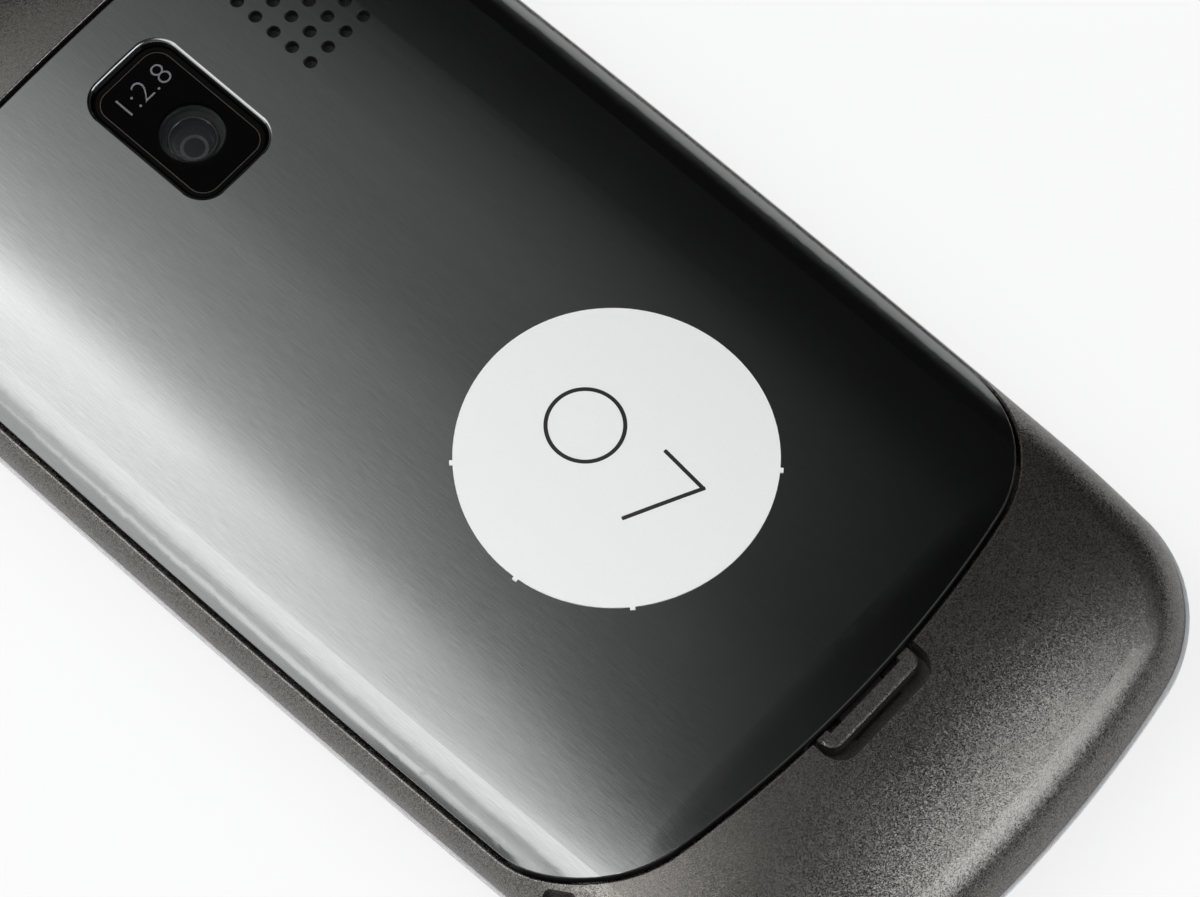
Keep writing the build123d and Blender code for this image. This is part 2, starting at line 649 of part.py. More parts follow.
def antenna_carrier():
    """The curved plastic that holds the antenna up against the inside of the chin."""
    band = block((-19, 19), (-END_Y - 4.0, 20.0 - END_Y), (BOARD_TOP + 0.3, 20))
    shell = layer(CAVITY_DEPTH, CARRIER_DEPTH) & band
    shell -= block((-9.6, 9.6), (7.2 - END_Y, 26.0 - END_Y), (8, 20))
    posts = mirrored(rod(11.0, 12.0 - END_Y, (BOARD_TOP, 20), 0.9))
    return shell + (posts & FORM[CAVITY_DEPTH])


def fixed_slide_plate():
    plate = block((-PLATE_HALF, PLATE_HALF), PLATE_Y, (FRAME_Z, PLATE_Z))
    plate = fillet(plate.edges().filter_by(Axis.Z), 1.5)
    plate -= block((-FLEX_ROOM_HALF, FLEX_ROOM_HALF), FLEX_ROOM_Y, (5, 7))
    for side in (-1, 1):
        plate -= pad(side * 15.0, PLATE_Y[1] - 12.8, 8.0, 14.0, 2.0, (5, 7))
        for y in (PLATE_Y[0] + 2.3, PLATE_Y[1] - 2.2):
            plate -= rod(side * (PLATE_HALF - 2.2), y, (5, 7), 0.8)
    return plate


def slide_guides():
    neck = block(around(GUIDE_X, NECK_HALF), (-GUIDE_HALF, GUIDE_HALF), (HEAD_Z[1] - 0.1, FRAME_Z))
    head = block(around(GUIDE_X, HEAD_HALF), (-GUIDE_HALF, GUIDE_HALF), HEAD_Z)
    return mirrored(neck + chamfer(head.edges().filter_by(Axis.Z), 0.4))


def base_screws():
    screws = Part()
    for x, y in screw_places():
        top = SCREW_HEAD_Z + 0.7
        head = chamfer(rod(x, y, (SCREW_HEAD_Z, top), 1.7).edges().group_by(Axis.Z)[-1], 0.2)
        cross = block(around(x, 1.0), around(y, 0.2), (top - 0.4, 11))
        cross += block(around(x, 0.2), around(y, 1.0), (top - 0.4, 11))
        screws += head + rod(x, y, (WALL_Z - 0.1, SCREW_HEAD_Z), 0.8) - cross
    return screws


def flex_cable():
    """The ribbon between the two halves, folded once in the room between them."""
    board_z = BOARD_Z - FLEX_THICK / 2
    base_z = FRAME_Z + 0.8
    low_z = DISPLAY_TOP - 0.8
    plug_z = CHASSIS_Z[1] + 0.5 + FLEX_THICK / 2
    base = Polyline((-3.0, board_z), (-1.0, board_z), (0.6, base_z), (8.0, base_z))
    fold = ThreePointArc((8.0, base_z), (8.95, (base_z + low_z) / 2), (8.0, low_z))
    display = Polyline((8.0, low_z), (-14.2, low_z), (-15.6, plug_z), (-17.0, plug_z))
    ribbon = trace(base + fold + display, FLEX_THICK)
    return extrude(Plane.YZ * ribbon, amount=FLEX_HALF, both=True)


def catch_spring():
    """A flat strip folded to and fro between the slider and the far wall of its room."""
    near = SLIDER_Y[0] - SPRING_THICK / 2 - 0.05
    far = CATCH_ROOM_Y + SPRING_THICK / 2 + 0.05
    turns = [(-2.4, near), (2.4, near), (-2.4, near - 1.05), (2.4, near - 2.05), (-2.4, near - 3.15),
             (2.4, far), (-2.4, far)]
    strip = trace(Polyline(*turns), SPRING_THICK)
    return sheet(strip, (SLIDER_Z[0] - 0.2, SLIDER_Z[1]))


def side_key_board():
    strip = sheet(phone_face(SWITCH_INSET) - phone_face(SWITCH_INSET + SWITCH_THICK), (WALL_Z, BOARD_TOP))
    dots = sheet(phone_face(SWITCH_INSET - 0.3) - phone_face(SWITCH_INSET), (7.0, 8.1))
    board = strip & block(SIDE_BAND, widened(VOLUME_Y, 1.6), (5, 9))
    board += strip & block(SIDE_BAND, widened(CAMERA_KEY_Y, 1.6), (5, 9))
    volume = (VOLUME_Y[0] + VOLUME_Y[1]) / 2
    camera = (CAMERA_KEY_Y[0] + CAMERA_KEY_Y[1]) / 2
    for y in (volume - 3.5, volume + 3.5, camera):
        board += dots & block(SIDE_BAND, around(y, 1.2), (5, 9))
    return board


def side_key(span, proud):
    foot, back = SIDE_KEY_FOOT
    cap = sheet(phone_face(-proud) - phone_face(back), SIDE_KEY_Z) & block(SIDE_BAND, span, (5, 9))
    flange = sheet(phone_face(foot) - phone_face(back), (SIDE_KEY_Z[0] - 0.2, SIDE_KEY_Z[1] - 0.1))
    return cap + (flange & block(SIDE_BAND, widened(span, 0.7), (5, 9)))


def keypad_key(x, y):
    cap = pad(x, y, KEY_WIDE, KEY_TALL, KEY_CORNER, (KEY_FACE, WALL_Z + 0.1))
    cap = chamfer(cap.edges().group_by(Axis.Z)[0], 0.15)
    flange = pad(x, y, KEY_WIDE + 0.6, KEY_TALL + 0.5, KEY_CORNER + 0.2, (WALL_Z + 0.05, WALL_Z + 0.35))
    return cap + flange + rod(x, y, (WALL_Z + 0.3, DOME_Z[0] - 0.3), 1.5)


def release_catch():
    """The sliding bar with its two end feet, and the stem that carries it on its slider."""
    middle = CATCH_Y[1] - 0.1
    bar = block(around(0, CATCH_HALF), CATCH_Y, CATCH_Z)
    outer = [e for e in bar.edges().filter_by(Axis.Z) if e.center().Y < middle]
    bar = fillet(outer, 0.95)
    top = [e for e in bar.edges().group_by(Axis.Z)[-1] if e.center().Y < middle]
    bar = chamfer(top, 0.15)
    foot_y = (CATCH_Y[1] - 0.1, COVER_FOOT - 0.12)
    feet = mirrored(block((CATCH_HALF - 1.1, CATCH_HALF), foot_y, (CATCH_Z[0], CATCH_Z[1] - 0.4)))
    stem_z = (SLIDER_Z[1] - 0.1, CATCH_Z[0] + 0.1)
    stem = block(around(0, CATCH_ARM), STEM_Y, stem_z)
    slider = block(around(0, SLIDER_HALF), SLIDER_Y, SLIDER_Z)
    return bar + feet + stem + slider


# Battery cover

def is_window_rim(edge):
    middle = edge.center()
    near = abs(middle.X) < WINDOW_WIDE / 2 + 1 and abs(middle.Y - WINDOW_Y) < WINDOW_LONG / 2 + 1
    return near and middle.Z > THICKNESS - 0.35


def battery_cover():
    outline = cover_face(0, 0, 0)
    cover = layer(0.0, SKIN) & sheet(outline, (7, 16))
    cover = fillet(outer_rim(cover, outline), COVER_ROUND) - window_prism(0, (10, 16))
    flare = Pos(0, WINDOW_Y, GLASS_Z[1] - 0.1) * RectangleRounded(WINDOW_WIDE, WINDOW_LONG, WINDOW_CORNER)
    cover -= extrude(flare, amount=1.2, taper=-WINDOW_DRAFT)
    cover = fillet([edge for edge in cover.edges() if is_window_rim(edge)], WINDOW_ROUND)
    for column in range(HOLE_COLUMNS):
        for row in range(HOLE_ROWS):
            x = HOLE_X + column * HOLE_PITCH
            y = HOLE_Y + row * HOLE_PITCH
            top = THICKNESS - x * x / (2 * CROWN_RADIUS)
            cover -= rod(x, y, (10, 16), HOLE_RADIUS)
            cover -= Pos(x, y, top - 0.02) * Cone(HOLE_RADIUS - 0.05, HOLE_RADIUS + 0.15, 0.2)
    return cover


def cover_liner():
    """The moulded rim under the metal cover, with the pad round its window and its two hooks."""
    reach = sheet(cover_face(-1.05, -0.1, 0), (9.0, 16))
    liner = layer(SKIN, LINER_DEPTH) & reach
    inner = sheet(cover_face(-4.2, -3.2, -2.6), (5, 16))
    inner -= pad(0, WINDOW_Y + 2, 15.0, 24.0, 2.0, (5, 16))
    liner -= inner
    liner -= window_prism(0, (5, 16))
    wide = around(HOOK_X, HOOK_HALF)
    riser = block(wide, (SEAM_Y - 1.5, COVER_HEAD), (12.2, 16)) & FORM[CLOTH_DEPTH]
    tongue = block(wide, (COVER_HEAD - 0.2, SEAM_Y + HOOK_REACH), (12.2, 12.75))
    return liner + mirrored(riser + tongue)


def window_bezel():
    ring = window_prism(0, (GLASS_Z[0], GLASS_Z[1] + 0.1))
    ring = chamfer(ring.edges().group_by(Axis.Z)[-1], 0.1)
    return ring - window_prism(-BEZEL_RIM, (12, 15))


def camera_window():
    glass = window_prism(-BEZEL_RIM, GLASS_Z)
    return chamfer(glass.edges().group_by(Axis.Z)[-1], 0.08)


def speaker_cloth():
    return layer(SKIN, CLOTH_DEPTH) & block(around(SPEAKER_X, 4.35), around(WINDOW_Y, 5.4), (10, 16))


def round_sticker():
    """A paper disc laid on the crown, with the nibs that held it in its sheet of stickers."""
    disc = rod(STICKER_X, STICKER_Y, (10, 16), STICKER_RADIUS)
    for angle in (135, 185, 228, 307):
        disc += Pos(STICKER_X, STICKER_Y, 13) * Rot(0, 0, angle) * Pos(STICKER_RADIUS, 0) * Box(0.5, 0.4, 6)
    return layer(-STICKER_THICK, 0.0) & disc


# Display half

def front_keys():
    middle = (FRONT_KEY_X[0] + FRONT_KEY_X[1]) / 2
    wide = FRONT_KEY_X[1] - FRONT_KEY_X[0]
    return {
        "left_soft_key": (middle, GLASS_FOOT - 8.4, wide, 7.4),
        "right_soft_key": (-middle, GLASS_FOOT - 8.4, wide, 7.4),
        "call_key": (middle, GLASS_FOOT - 19.6, wide, 12.6),
        "end_key": (-middle, GLASS_FOOT - 19.6, wide, 12.6),
    }


def glass_band():
    return block((-40, 40), (GLASS_FOOT, 60), (-2, 2))


def display_bezel():
    bezel = sheet(display_face(0), (0, BEZEL_TOP))
    rim = [e for e in bezel.edges() if abs(e.center().Z) < 0.01]
    bezel = fillet(rim, 0.9)
    bezel -= sheet(display_face(GLASS_INSET), (-1, LEDGE_Z)) & glass_band()
    bezel -= block(around(0, LCD_HALF + 0.2), widened(LCD_Y, 0.2), (-1, 2))
    bezel -= block(around(0, 6.1), around(EARPIECE_Y, 3.1), (-1, 2))
    gap = 2 * FRONT_KEY_GAP
    for x, y, wide, tall in front_keys().values():
        bezel -= pad(x, y, wide + gap, tall + gap, 2.2, (-1, 2))
    room = 2 * NAVIGATION_HALF + gap
    bezel -= pad(0, NAVIGATION_Y, room, room, 5.2, (-1, 2))
    rib = display_face(CASE_WALL + PLATE_SEAT) - display_face(RAIL_INSET)
    return bezel + sheet(rib, (BEZEL_TOP, CHASSIS_Z[0]))


def display_glass():
    glass = sheet(display_face(GLASS_INSET), (GLASS_FACE, LEDGE_Z)) & glass_band()
    return glass - pad(0, EARPIECE_Y, 8.0, 1.3, 0.6, (-1, 2))


def earpiece_mesh():
    return pad(0, EARPIECE_Y, 8.0, 1.3, 0.6, (GLASS_FACE + 0.2, GLASS_FACE + 0.45))


def earpiece():
    return pad(0, EARPIECE_Y, 12.0, 6.0, 1.4, (LEDGE_Z, CHASSIS_Z[0]))


def lcd_module():
    panel = block((-LCD_HALF, LCD_HALF), LCD_Y, (LEDGE_Z, CHASSIS_Z[0]))
    step = block(around(0, LCD_HALF + 1), (LCD_Y[0] - 1, LCD_Y[0] + 3.4), (0, LEDGE_Z + 0.4))
    return panel - step


def display_chassis():
    plate = sheet(display_face(CASE_WALL + PLATE_SEAT), CHASSIS_Z)
    plate -= pad(0, LCD_Y[0] + 4.3, 12.0, 2.4, 1.0, (2, 4))
    for x in (-LCD_HALF, LCD_HALF):
        plate -= pad(x, DISPLAY_END - 10.4, 4.0, 8.0, 1.5, (2, 4))
    return plate


def display_board():
    top = CHASSIS_Z[1] + 0.5
    board = block((-12.6, 12.6), (4.4 - DISPLAY_END, DISPLAY_END - 12.4), (CHASSIS_Z[1], top))
    board = fillet(board.edges().filter_by(Axis.Z), 1.5)
    for step in (18.4, 26.4, 34.4):
        board += block((-9.0, -2.0), around(DISPLAY_END - step, 2.6), (top, top + 0.3))
    return board


def display_rear_case():
    case = sheet(display_face(0), (BEZEL_TOP, DISPLAY_TOP))
    rim = [e for e in case.edges() if abs(e.center().Z - DISPLAY_TOP) < 0.01]
    case = fillet(rim, 0.6)
    case -= sheet(display_face(CASE_WALL), (1, CASE_FLOOR))
    case += sheet(display_face(CASE_WALL) - display_face(RAIL_INSET), (CHASSIS_Z[1], CASE_FLOOR))
    case -= block((-MOVING_HALF, MOVING_HALF), MOVING_Y, (DISPLAY_TOP - MOVING_PLATE, 6))
    track = (HEAD_Z[0] - 0.6, DISPLAY_TOP - 0.2)
    case -= mirrored(block(around(GUIDE_X, HEAD_HALF + HEAD_GAP_X), SLOT_Y, track))
    case -= block((-FLEX_ROOM_HALF, FLEX_ROOM_HALF), FLEX_POCKET_Y, (DISPLAY_TOP - 1.0, 6))
    return case - block(around(0, FLEX_HALF + 0.4), FLEX_MOUTH_Y, (CHASSIS_Z[1], 6))


def moving_slide_plate():
    plate = block((-MOVING_HALF, MOVING_HALF), MOVING_Y, (DISPLAY_TOP - MOVING_PLATE, DISPLAY_TOP))
    plate -= mirrored(block(around(GUIDE_X, NECK_HALF + NECK_GAP), SLOT_Y, (4, 6)))
    return plate - block((-FLEX_ROOM_HALF, FLEX_ROOM_HALF), FLEX_POCKET_Y, (4, 6))


def front_key(x, y, wide, tall):
    cap = pad(x, y, wide, tall, 2.0, (FRONT_KEY_FACE, FRONT_FLANGE_Z[0] + 0.05))
    cap = fillet(cap.edges().group_by(Axis.Z)[0], 0.25)
    flange = pad(x, y, wide + 1.0, tall + 1.0, 2.4, FRONT_FLANGE_Z)
    return cap + flange + rod(x, y, (FRONT_FLANGE_Z[1] - 0.05, FRONT_KEY_TOP), 1.3)


def navigation_ring():
    wide = 2 * NAVIGATION_HALF
    cap = pad(0, NAVIGATION_Y, wide, wide, 5.0, (FRONT_KEY_FACE, FRONT_FLANGE_Z[0] + 0.05))
    cap = fillet(cap.edges().group_by(Axis.Z)[0], 0.3)
    ring = cap + pad(0, NAVIGATION_Y, wide + 1.0, wide + 1.0, 5.4, FRONT_FLANGE_Z)
    for x, y in ((6.6, 0), (-6.6, 0), (0, 6.6), (0, -6.6)):
        ring += rod(x, NAVIGATION_Y + y, (FRONT_FLANGE_Z[1] - 0.05, FRONT_KEY_TOP), 1.0)
    return ring - rod(0, NAVIGATION_Y, (-1, 3), SELECT_RADIUS + 0.3)


def select_key():
    cap = rod(0, NAVIGATION_Y, (FRONT_KEY_FACE, FRONT_FLANGE_Z[1] + 0.05), SELECT_RADIUS)
    cap = fillet(cap.edges().group_by(Axis.Z)[0], 0.3)
    return cap + rod(0, NAVIGATION_Y, (FRONT_FLANGE_Z[1], FRONT_KEY_TOP), 1.3)


PIECES = {
    "rear_housing": rear_housing,
    "trim_ring": trim_ring,
    "keypad_frame": keypad_frame,
    "main_board": main_board,
    "dome_sheet": dome_sheet,
    "shield_cans": shield_cans,
    "battery": battery,
    "battery_contacts": battery_contacts,
    "sim_holder": sim_holder,
    "camera_module": camera_module,
    "camera_lens": camera_lens,
    "speaker": speaker,
    "vibration_motor": vibration_motor,
    "motor_weight": motor_weight,
    "headset_jack": headset_jack,
    "usb_socket": usb_socket,
    "antenna_carrier": antenna_carrier,
    "fixed_slide_plate": fixed_slide_plate,
    "slide_guides": slide_guides,
    "base_screws": base_screws,
    "flex_cable": flex_cable,
    "catch_spring": catch_spring,
    "side_key_board": side_key_board,
    "release_catch": release_catch,
    "battery_cover": battery_cover,
    "cover_liner": cover_liner,
    "window_bezel": window_bezel,
    "camera_window": camera_window,
    "speaker_cloth": speaker_cloth,
    "round_sticker": round_sticker,
    "display_bezel": display_bezel,
    "display_glass": display_glass,
    "earpiece_mesh": earpiece_mesh,
    "earpiece": earpiece,
    "lcd_module": lcd_module,
    "display_chassis": display_chassis,
    "display_board": display_board,
    "display_rear_case": display_rear_case,
    "moving_slide_plate": moving_slide_plate,
    "navigation_ring": navigation_ring,
    "select_key": select_key,
}

for name, make in PIECES.items():
    save(name, make())
for name, x, y in key_places():
    save(name, keypad_key(x, y))
for name, (x, y, wide, tall) in front_keys().items():
    save(name, front_key(x, y, wide, tall))
save("volume_rocker", side_key(VOLUME_Y, VOLUME_PROUD))
save("camera_key", side_key(CAMERA_KEY_Y, CAMERA_KEY_PROUD))
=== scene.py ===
"""Looks of a slider phone that lies on its display: finishes, printed marks, soft links, lamps and camera."""

import json
import logging
import math
from collections.abc import Callable, Sequence
from dataclasses import dataclass
from enum import Enum
from functools import cache, partial, reduce

import bmesh
import bpy
from mathutils import Matrix, Vector


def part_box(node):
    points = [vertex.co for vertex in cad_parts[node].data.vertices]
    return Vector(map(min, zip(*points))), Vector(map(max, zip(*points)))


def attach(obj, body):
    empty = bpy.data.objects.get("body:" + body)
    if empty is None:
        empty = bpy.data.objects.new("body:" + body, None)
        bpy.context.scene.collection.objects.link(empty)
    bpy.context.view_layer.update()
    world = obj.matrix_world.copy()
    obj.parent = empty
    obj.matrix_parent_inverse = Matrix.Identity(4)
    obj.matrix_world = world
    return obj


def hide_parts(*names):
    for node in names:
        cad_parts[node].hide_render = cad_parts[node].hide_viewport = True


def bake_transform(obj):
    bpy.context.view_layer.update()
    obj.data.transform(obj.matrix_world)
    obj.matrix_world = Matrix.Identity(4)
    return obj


LOG = logging.getLogger("slider_phone")
MM = 0.001

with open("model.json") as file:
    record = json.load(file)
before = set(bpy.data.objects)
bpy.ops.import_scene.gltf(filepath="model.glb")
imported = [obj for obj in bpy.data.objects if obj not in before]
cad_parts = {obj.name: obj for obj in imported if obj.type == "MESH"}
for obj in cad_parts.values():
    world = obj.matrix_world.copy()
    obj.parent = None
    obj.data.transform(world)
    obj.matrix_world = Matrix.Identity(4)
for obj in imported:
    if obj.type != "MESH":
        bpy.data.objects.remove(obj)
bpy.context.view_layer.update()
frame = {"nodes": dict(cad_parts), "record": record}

Pair = tuple[float, float]
Place = tuple[float, float, float]
Color = tuple[float, float, float]
Socket = bpy.types.NodeSocket
Value = float | int | tuple | Socket
Mesh = bmesh.types.BMesh
Edge = bmesh.types.BMEdge


class Grain(Enum):
    """The fine pattern that a finish carries in its colour, gloss and relief."""

    MOULDED = "fine pebbles of moulded plastic"
    BRUSHED = "short brush lines along the phone"
    DRAWN = "long drawing lines of rolled sheet"
    FLAKES = "metal flakes under lacquer"
    WOVEN = "crossed threads"
    FIBRES = "paper fibres"
    TRACKS = "copper tracks under a lacquer"
    STRIPES = "conductors side by side along a ribbon"


class Facing(Enum):
    """Which way a printed mark looks."""

    BACK = "out of the back"
    FRONT = "out of the front"


class Tree:
    """A node tree that is built node by node.

    Nearly all of a pattern lies in its band, and a tint is darkest and lightest at its ends.
    """

    band: Pair = (0.3, 0.7)
    tint_ends: Pair = (0.25, 0.75)

    def __init__(self, owner: bpy.types.Material | bpy.types.World | bpy.types.Light) -> None:
        """Empties the tree of its owner.

        Args:
            owner: What the nodes shade.
        """
        owner.use_nodes = True
        self.nodes = owner.node_tree.nodes
        self.links = owner.node_tree.links
        self.nodes.clear()

    def add(self, kind: str, inputs: dict[str | int, Value] | None = None,
            **options: object) -> bpy.types.Node:
        """Adds a node.

        Args:
            kind: The node's type, without the words that all shader nodes share.
            inputs: Values or outputs for its sockets, by name or number.
            options: The node's own settings.

        Returns:
            The new node.
        """
        node = self.nodes.new("ShaderNode" + kind)
        for name, value in options.items():
            setattr(node, name, value)
        for key, value in (inputs or {}).items():
            if isinstance(value, Socket):
                self.links.new(value, node.inputs[key])
            else:
                node.inputs[key].default_value = value
        return node

    def math(self, operation: str, *values: Value) -> Socket:
        """Adds a Math node for numbers or outputs and gives its result."""
        return self.add("Math", dict(enumerate(values)), operation=operation).outputs[0]

    def product(self, first: Value, *others: Value) -> Value:
        """Multiplies values with each other."""
        return reduce(partial(self.math, "MULTIPLY"), others, first)

    def inside(self, value: Value, span: Pair) -> Value:
        """Gives 1 where a value lies in a span, and 0 elsewhere."""
        return self.product(self.math("GREATER_THAN", value, span[0]), self.math("LESS_THAN", value, span[1]))

    def remap(self, value: Value, span: Sequence[float], to: tuple[Value, Value] = (0.0, 1.0),
              form: str = "SMOOTHSTEP") -> Socket:
        """Moves a value from one span to another, and holds it at the ends.

        Args:
            value: The value.
            span: Where it starts and ends.
            to: The results at the start and the end.
            form: How it goes from one to the other.

        Returns:
            The moved value.
        """
        sockets = {"Value": value, "From Min": span[0], "From Max": span[1], "To Min": to[0], "To Max": to[1]}
        return self.add("MapRange", sockets, interpolation_type=form).outputs[0]

    def spread(self, pattern: Value, centre: float, reach: float) -> Socket:
        """Lets a pattern swing round a centre, with a reach to each side."""
        return self.remap(pattern, self.band, (centre - reach, centre + reach), "LINEAR")

    def tint(self, pattern: Value, color: Color, shade: float) -> Socket:
        """Makes a colour darker and lighter with a pattern.

        Args:
            pattern: A pattern that runs from 0 to 1.
            color: The colour in the middle.
            shade: How far it goes each way, as a share of the colour.

        Returns:
            The changing colour.
        """
        ramp = self.add("ValToRGB", {"Fac": pattern})
        for end, place, sign in zip(ramp.color_ramp.elements, self.tint_ends, (-1, 1)):
            end.position = place
            end.color = (*(min(1.0, part * (1 + sign * shade)) for part in color), 1.0)
        return ramp.outputs[0]


# The colour and roughness that painted shade turns a finish to
PAINTED_SHADE_COLOR: Color = (0.01, 0.01, 0.01)
PAINTED_SHADE_ROUGHNESS = 0.55
COAT_ROUGHNESS = 0.06
CLOUD_SCALE = 95.0
RELIEF_DEPTH = 0.3


@dataclass(frozen=True)
class Finish:
    """A surface finish with a grain in its colour, gloss and relief.

    A grain's size is that of its smallest mark, in millimetres, and its length, where it isn't as long
    as it is wide, lies along the phone.
    """

    title: str
    color: Color
    roughness: float
    size: float
    shade: float
    relief: float = 0.10
    grain: Grain = Grain.MOULDED
    length: float | None = None
    metallic: float = 0.0
    ior: float = 1.47
    coat: float = 0.0
    alpha: float = 1.0
    anisotropy: float = 0.0
    sheen: float = 0.0
    gloss: float = 0.05
    smudge: float = 0.03

    def pattern(self, tree: Tree, place: Socket) -> Socket:
        """Draws the grain.

        Args:
            tree: The tree of the material.
            place: The place on the piece.

        Returns:
            A pattern that runs from 0 to 1.
        """
        across, along = 1 / (self.size * MM), 1 / ((self.length or self.size) * MM)
        stretched = tree.add("Mapping", {"Vector": place, "Scale": (across, along, across)}).outputs[0]
        if self.grain is Grain.FLAKES:
            cells = tree.add("TexVoronoi", {"Vector": stretched, "Scale": 1.0})
            single = tree.add("SeparateColor", {"Color": cells.outputs["Color"]}).outputs[0]
            return tree.math("MULTIPLY_ADD", single, 0.5, 0.25)
        if self.grain is Grain.WOVEN:
            threads = {"Vector": stretched, "Scale": 0.35}
            warp, weft = (tree.add("TexWave", threads, bands_direction=way).outputs[1] for way in "XY")
            return tree.math("MAXIMUM", warp, weft)
        if self.grain is Grain.STRIPES:
            return tree.add("TexWave", {"Vector": stretched, "Scale": 0.3, "Distortion": 0.2}).outputs[1]
        if self.grain is Grain.TRACKS:
            lanes = tree.add("TexVoronoi", {"Vector": stretched, "Scale": 0.5}, distance="CHEBYCHEV")
            return tree.math("PINGPONG", lanes.outputs["Distance"], 0.5)
        noise = tree.add("TexNoise", {"Vector": stretched, "Scale": 1.0, "Detail": 4.0, "Roughness": 0.6})
        return noise.outputs[0]

    def normal(self, tree: Tree, pattern: Socket) -> Socket:
        """Gives the surface's direction with the grain's relief in it."""
        bump = {"Height": pattern, "Strength": self.relief, "Distance": self.size * MM * RELIEF_DEPTH}
        return tree.add("Bump", bump).outputs[0]

    def cover_share(self, tree: Tree, place: Socket) -> Value:
        """Says how much of what lies behind is hidden, from 0 for clear to 1 for solid."""
        return self.alpha

    def painted_shade_share(self, tree: Tree, place: Socket) -> Value | None:
        """Says where painted shade darkens the finish to dull black, or nothing if there is none."""
        return None

    @cache
    def material(self) -> bpy.types.Material:
        """Builds the material.

        Returns:
            The finish's material, the same one each time.
        """
        material = bpy.data.materials.new(self.title)
        tree = Tree(material)
        place = tree.add("TexCoord").outputs["Object"]
        pattern = self.pattern(tree, place)
        cloud = tree.add("TexNoise", {"Vector": place, "Scale": CLOUD_SCALE, "Detail": 2.0}).outputs[0]
        gloss = {0: tree.spread(pattern, self.roughness, self.gloss), 1: tree.spread(cloud, 0.0, self.smudge)}
        inputs: dict[str | int, Value] = {
            "Base Color": tree.tint(pattern, self.color, self.shade),
            "Roughness": tree.add("Math", gloss, operation="ADD", use_clamp=True).outputs[0],
            "Metallic": self.metallic,
            "IOR": self.ior,
            "Coat Weight": self.coat,
            "Coat Roughness": COAT_ROUGHNESS,
            "Alpha": self.cover_share(tree, place),
            "Anisotropic": self.anisotropy,
            "Sheen Weight": self.sheen,
            "Normal": self.normal(tree, pattern),
        }
        # Painted shade: the colour goes towards near black, and the surface loses its metal and gloss
        painted_shade = self.painted_shade_share(tree, place)
        if painted_shade is not None:
            black = {0: painted_shade, 6: inputs["Base Color"], 7: (*PAINTED_SHADE_COLOR, 1.0)}
            inputs["Base Color"] = tree.add("Mix", black, data_type="RGBA").outputs[2]
            inputs["Metallic"] = tree.math("MULTIPLY_ADD", painted_shade, -self.metallic, self.metallic)
            dull = (inputs["Roughness"], PAINTED_SHADE_ROUGHNESS)
            inputs["Roughness"] = tree.remap(painted_shade, (0.0, 1.0), dull, "LINEAR")
        if self.anisotropy:
            across = tree.add("CombineXYZ", {"X": 1.0}).outputs[0]
            inputs["Tangent"] = tree.add("VectorTransform", {"Vector": across}, vector_type="VECTOR",
                                         convert_from="OBJECT", convert_to="WORLD").outputs[0]
        shader = tree.add("BsdfPrincipled", inputs)
        tree.add("OutputMaterial", {"Surface": shader.outputs[0]})
        return material


@dataclass(frozen=True)
class RolledMetal(Finish):
    """A brushed sheet with painted shade, near black, on its foot edge and on its speaker holes' walls.

    The turns are parts of the surface's direction: towards the foot for the edge, and upwards, below
    which a face in the speaker's holes is a wall.
    """

    edge_y: float = -25 * MM
    edge_turn: Pair = (-0.08, -0.26)
    holes_x: Pair = (9.8 * MM, 17.6 * MM)
    holes_y: Pair = (27.0 * MM, 37.2 * MM)
    wall_turn: float = 0.8

    def painted_shade_share(self, tree: Tree, place: Socket) -> Value | None:
        """Paints shade on the edge that faces the phone's foot, and on the walls of the speaker's holes.

        Args:
            tree: The tree of the material.
            place: The place on the piece.

        Returns:
            The share of painted shade.
        """
        across, along, _ = tree.add("SeparateXYZ", {0: place}).outputs
        _, footward, upward = tree.add("SeparateXYZ", {0: tree.add("TexCoord").outputs["Normal"]}).outputs
        # Painted shade: the foot edge and the holes' walls go near black in place of the light they would catch
        edge = tree.product(tree.remap(footward, self.edge_turn), tree.math("LESS_THAN", along, self.edge_y))
        shaded_walls = tree.product(tree.inside(across, self.holes_x), tree.inside(along, self.holes_y),
                             tree.math("LESS_THAN", upward, self.wall_turn))
        return tree.math("MAXIMUM", edge, shaded_walls)


@dataclass(frozen=True)
class SmokedGlass(Finish):
    """A glass printed black on its back, with a clear round in front of the lens."""

    clear_centre: Place = (0.0, 30.7 * MM, 13.4 * MM)
    clear_edge: Pair = (2.60 * MM, 2.75 * MM)
    clear_alpha: float = 0.20

    def cover_share(self, tree: Tree, place: Socket) -> Value:
        """Leaves the round clear and hides what is outside its edge."""
        away = tree.add("VectorMath", {0: place, 1: self.clear_centre}, operation="DISTANCE").outputs["Value"]
        return tree.remap(away, self.clear_edge, (self.clear_alpha, self.alpha))


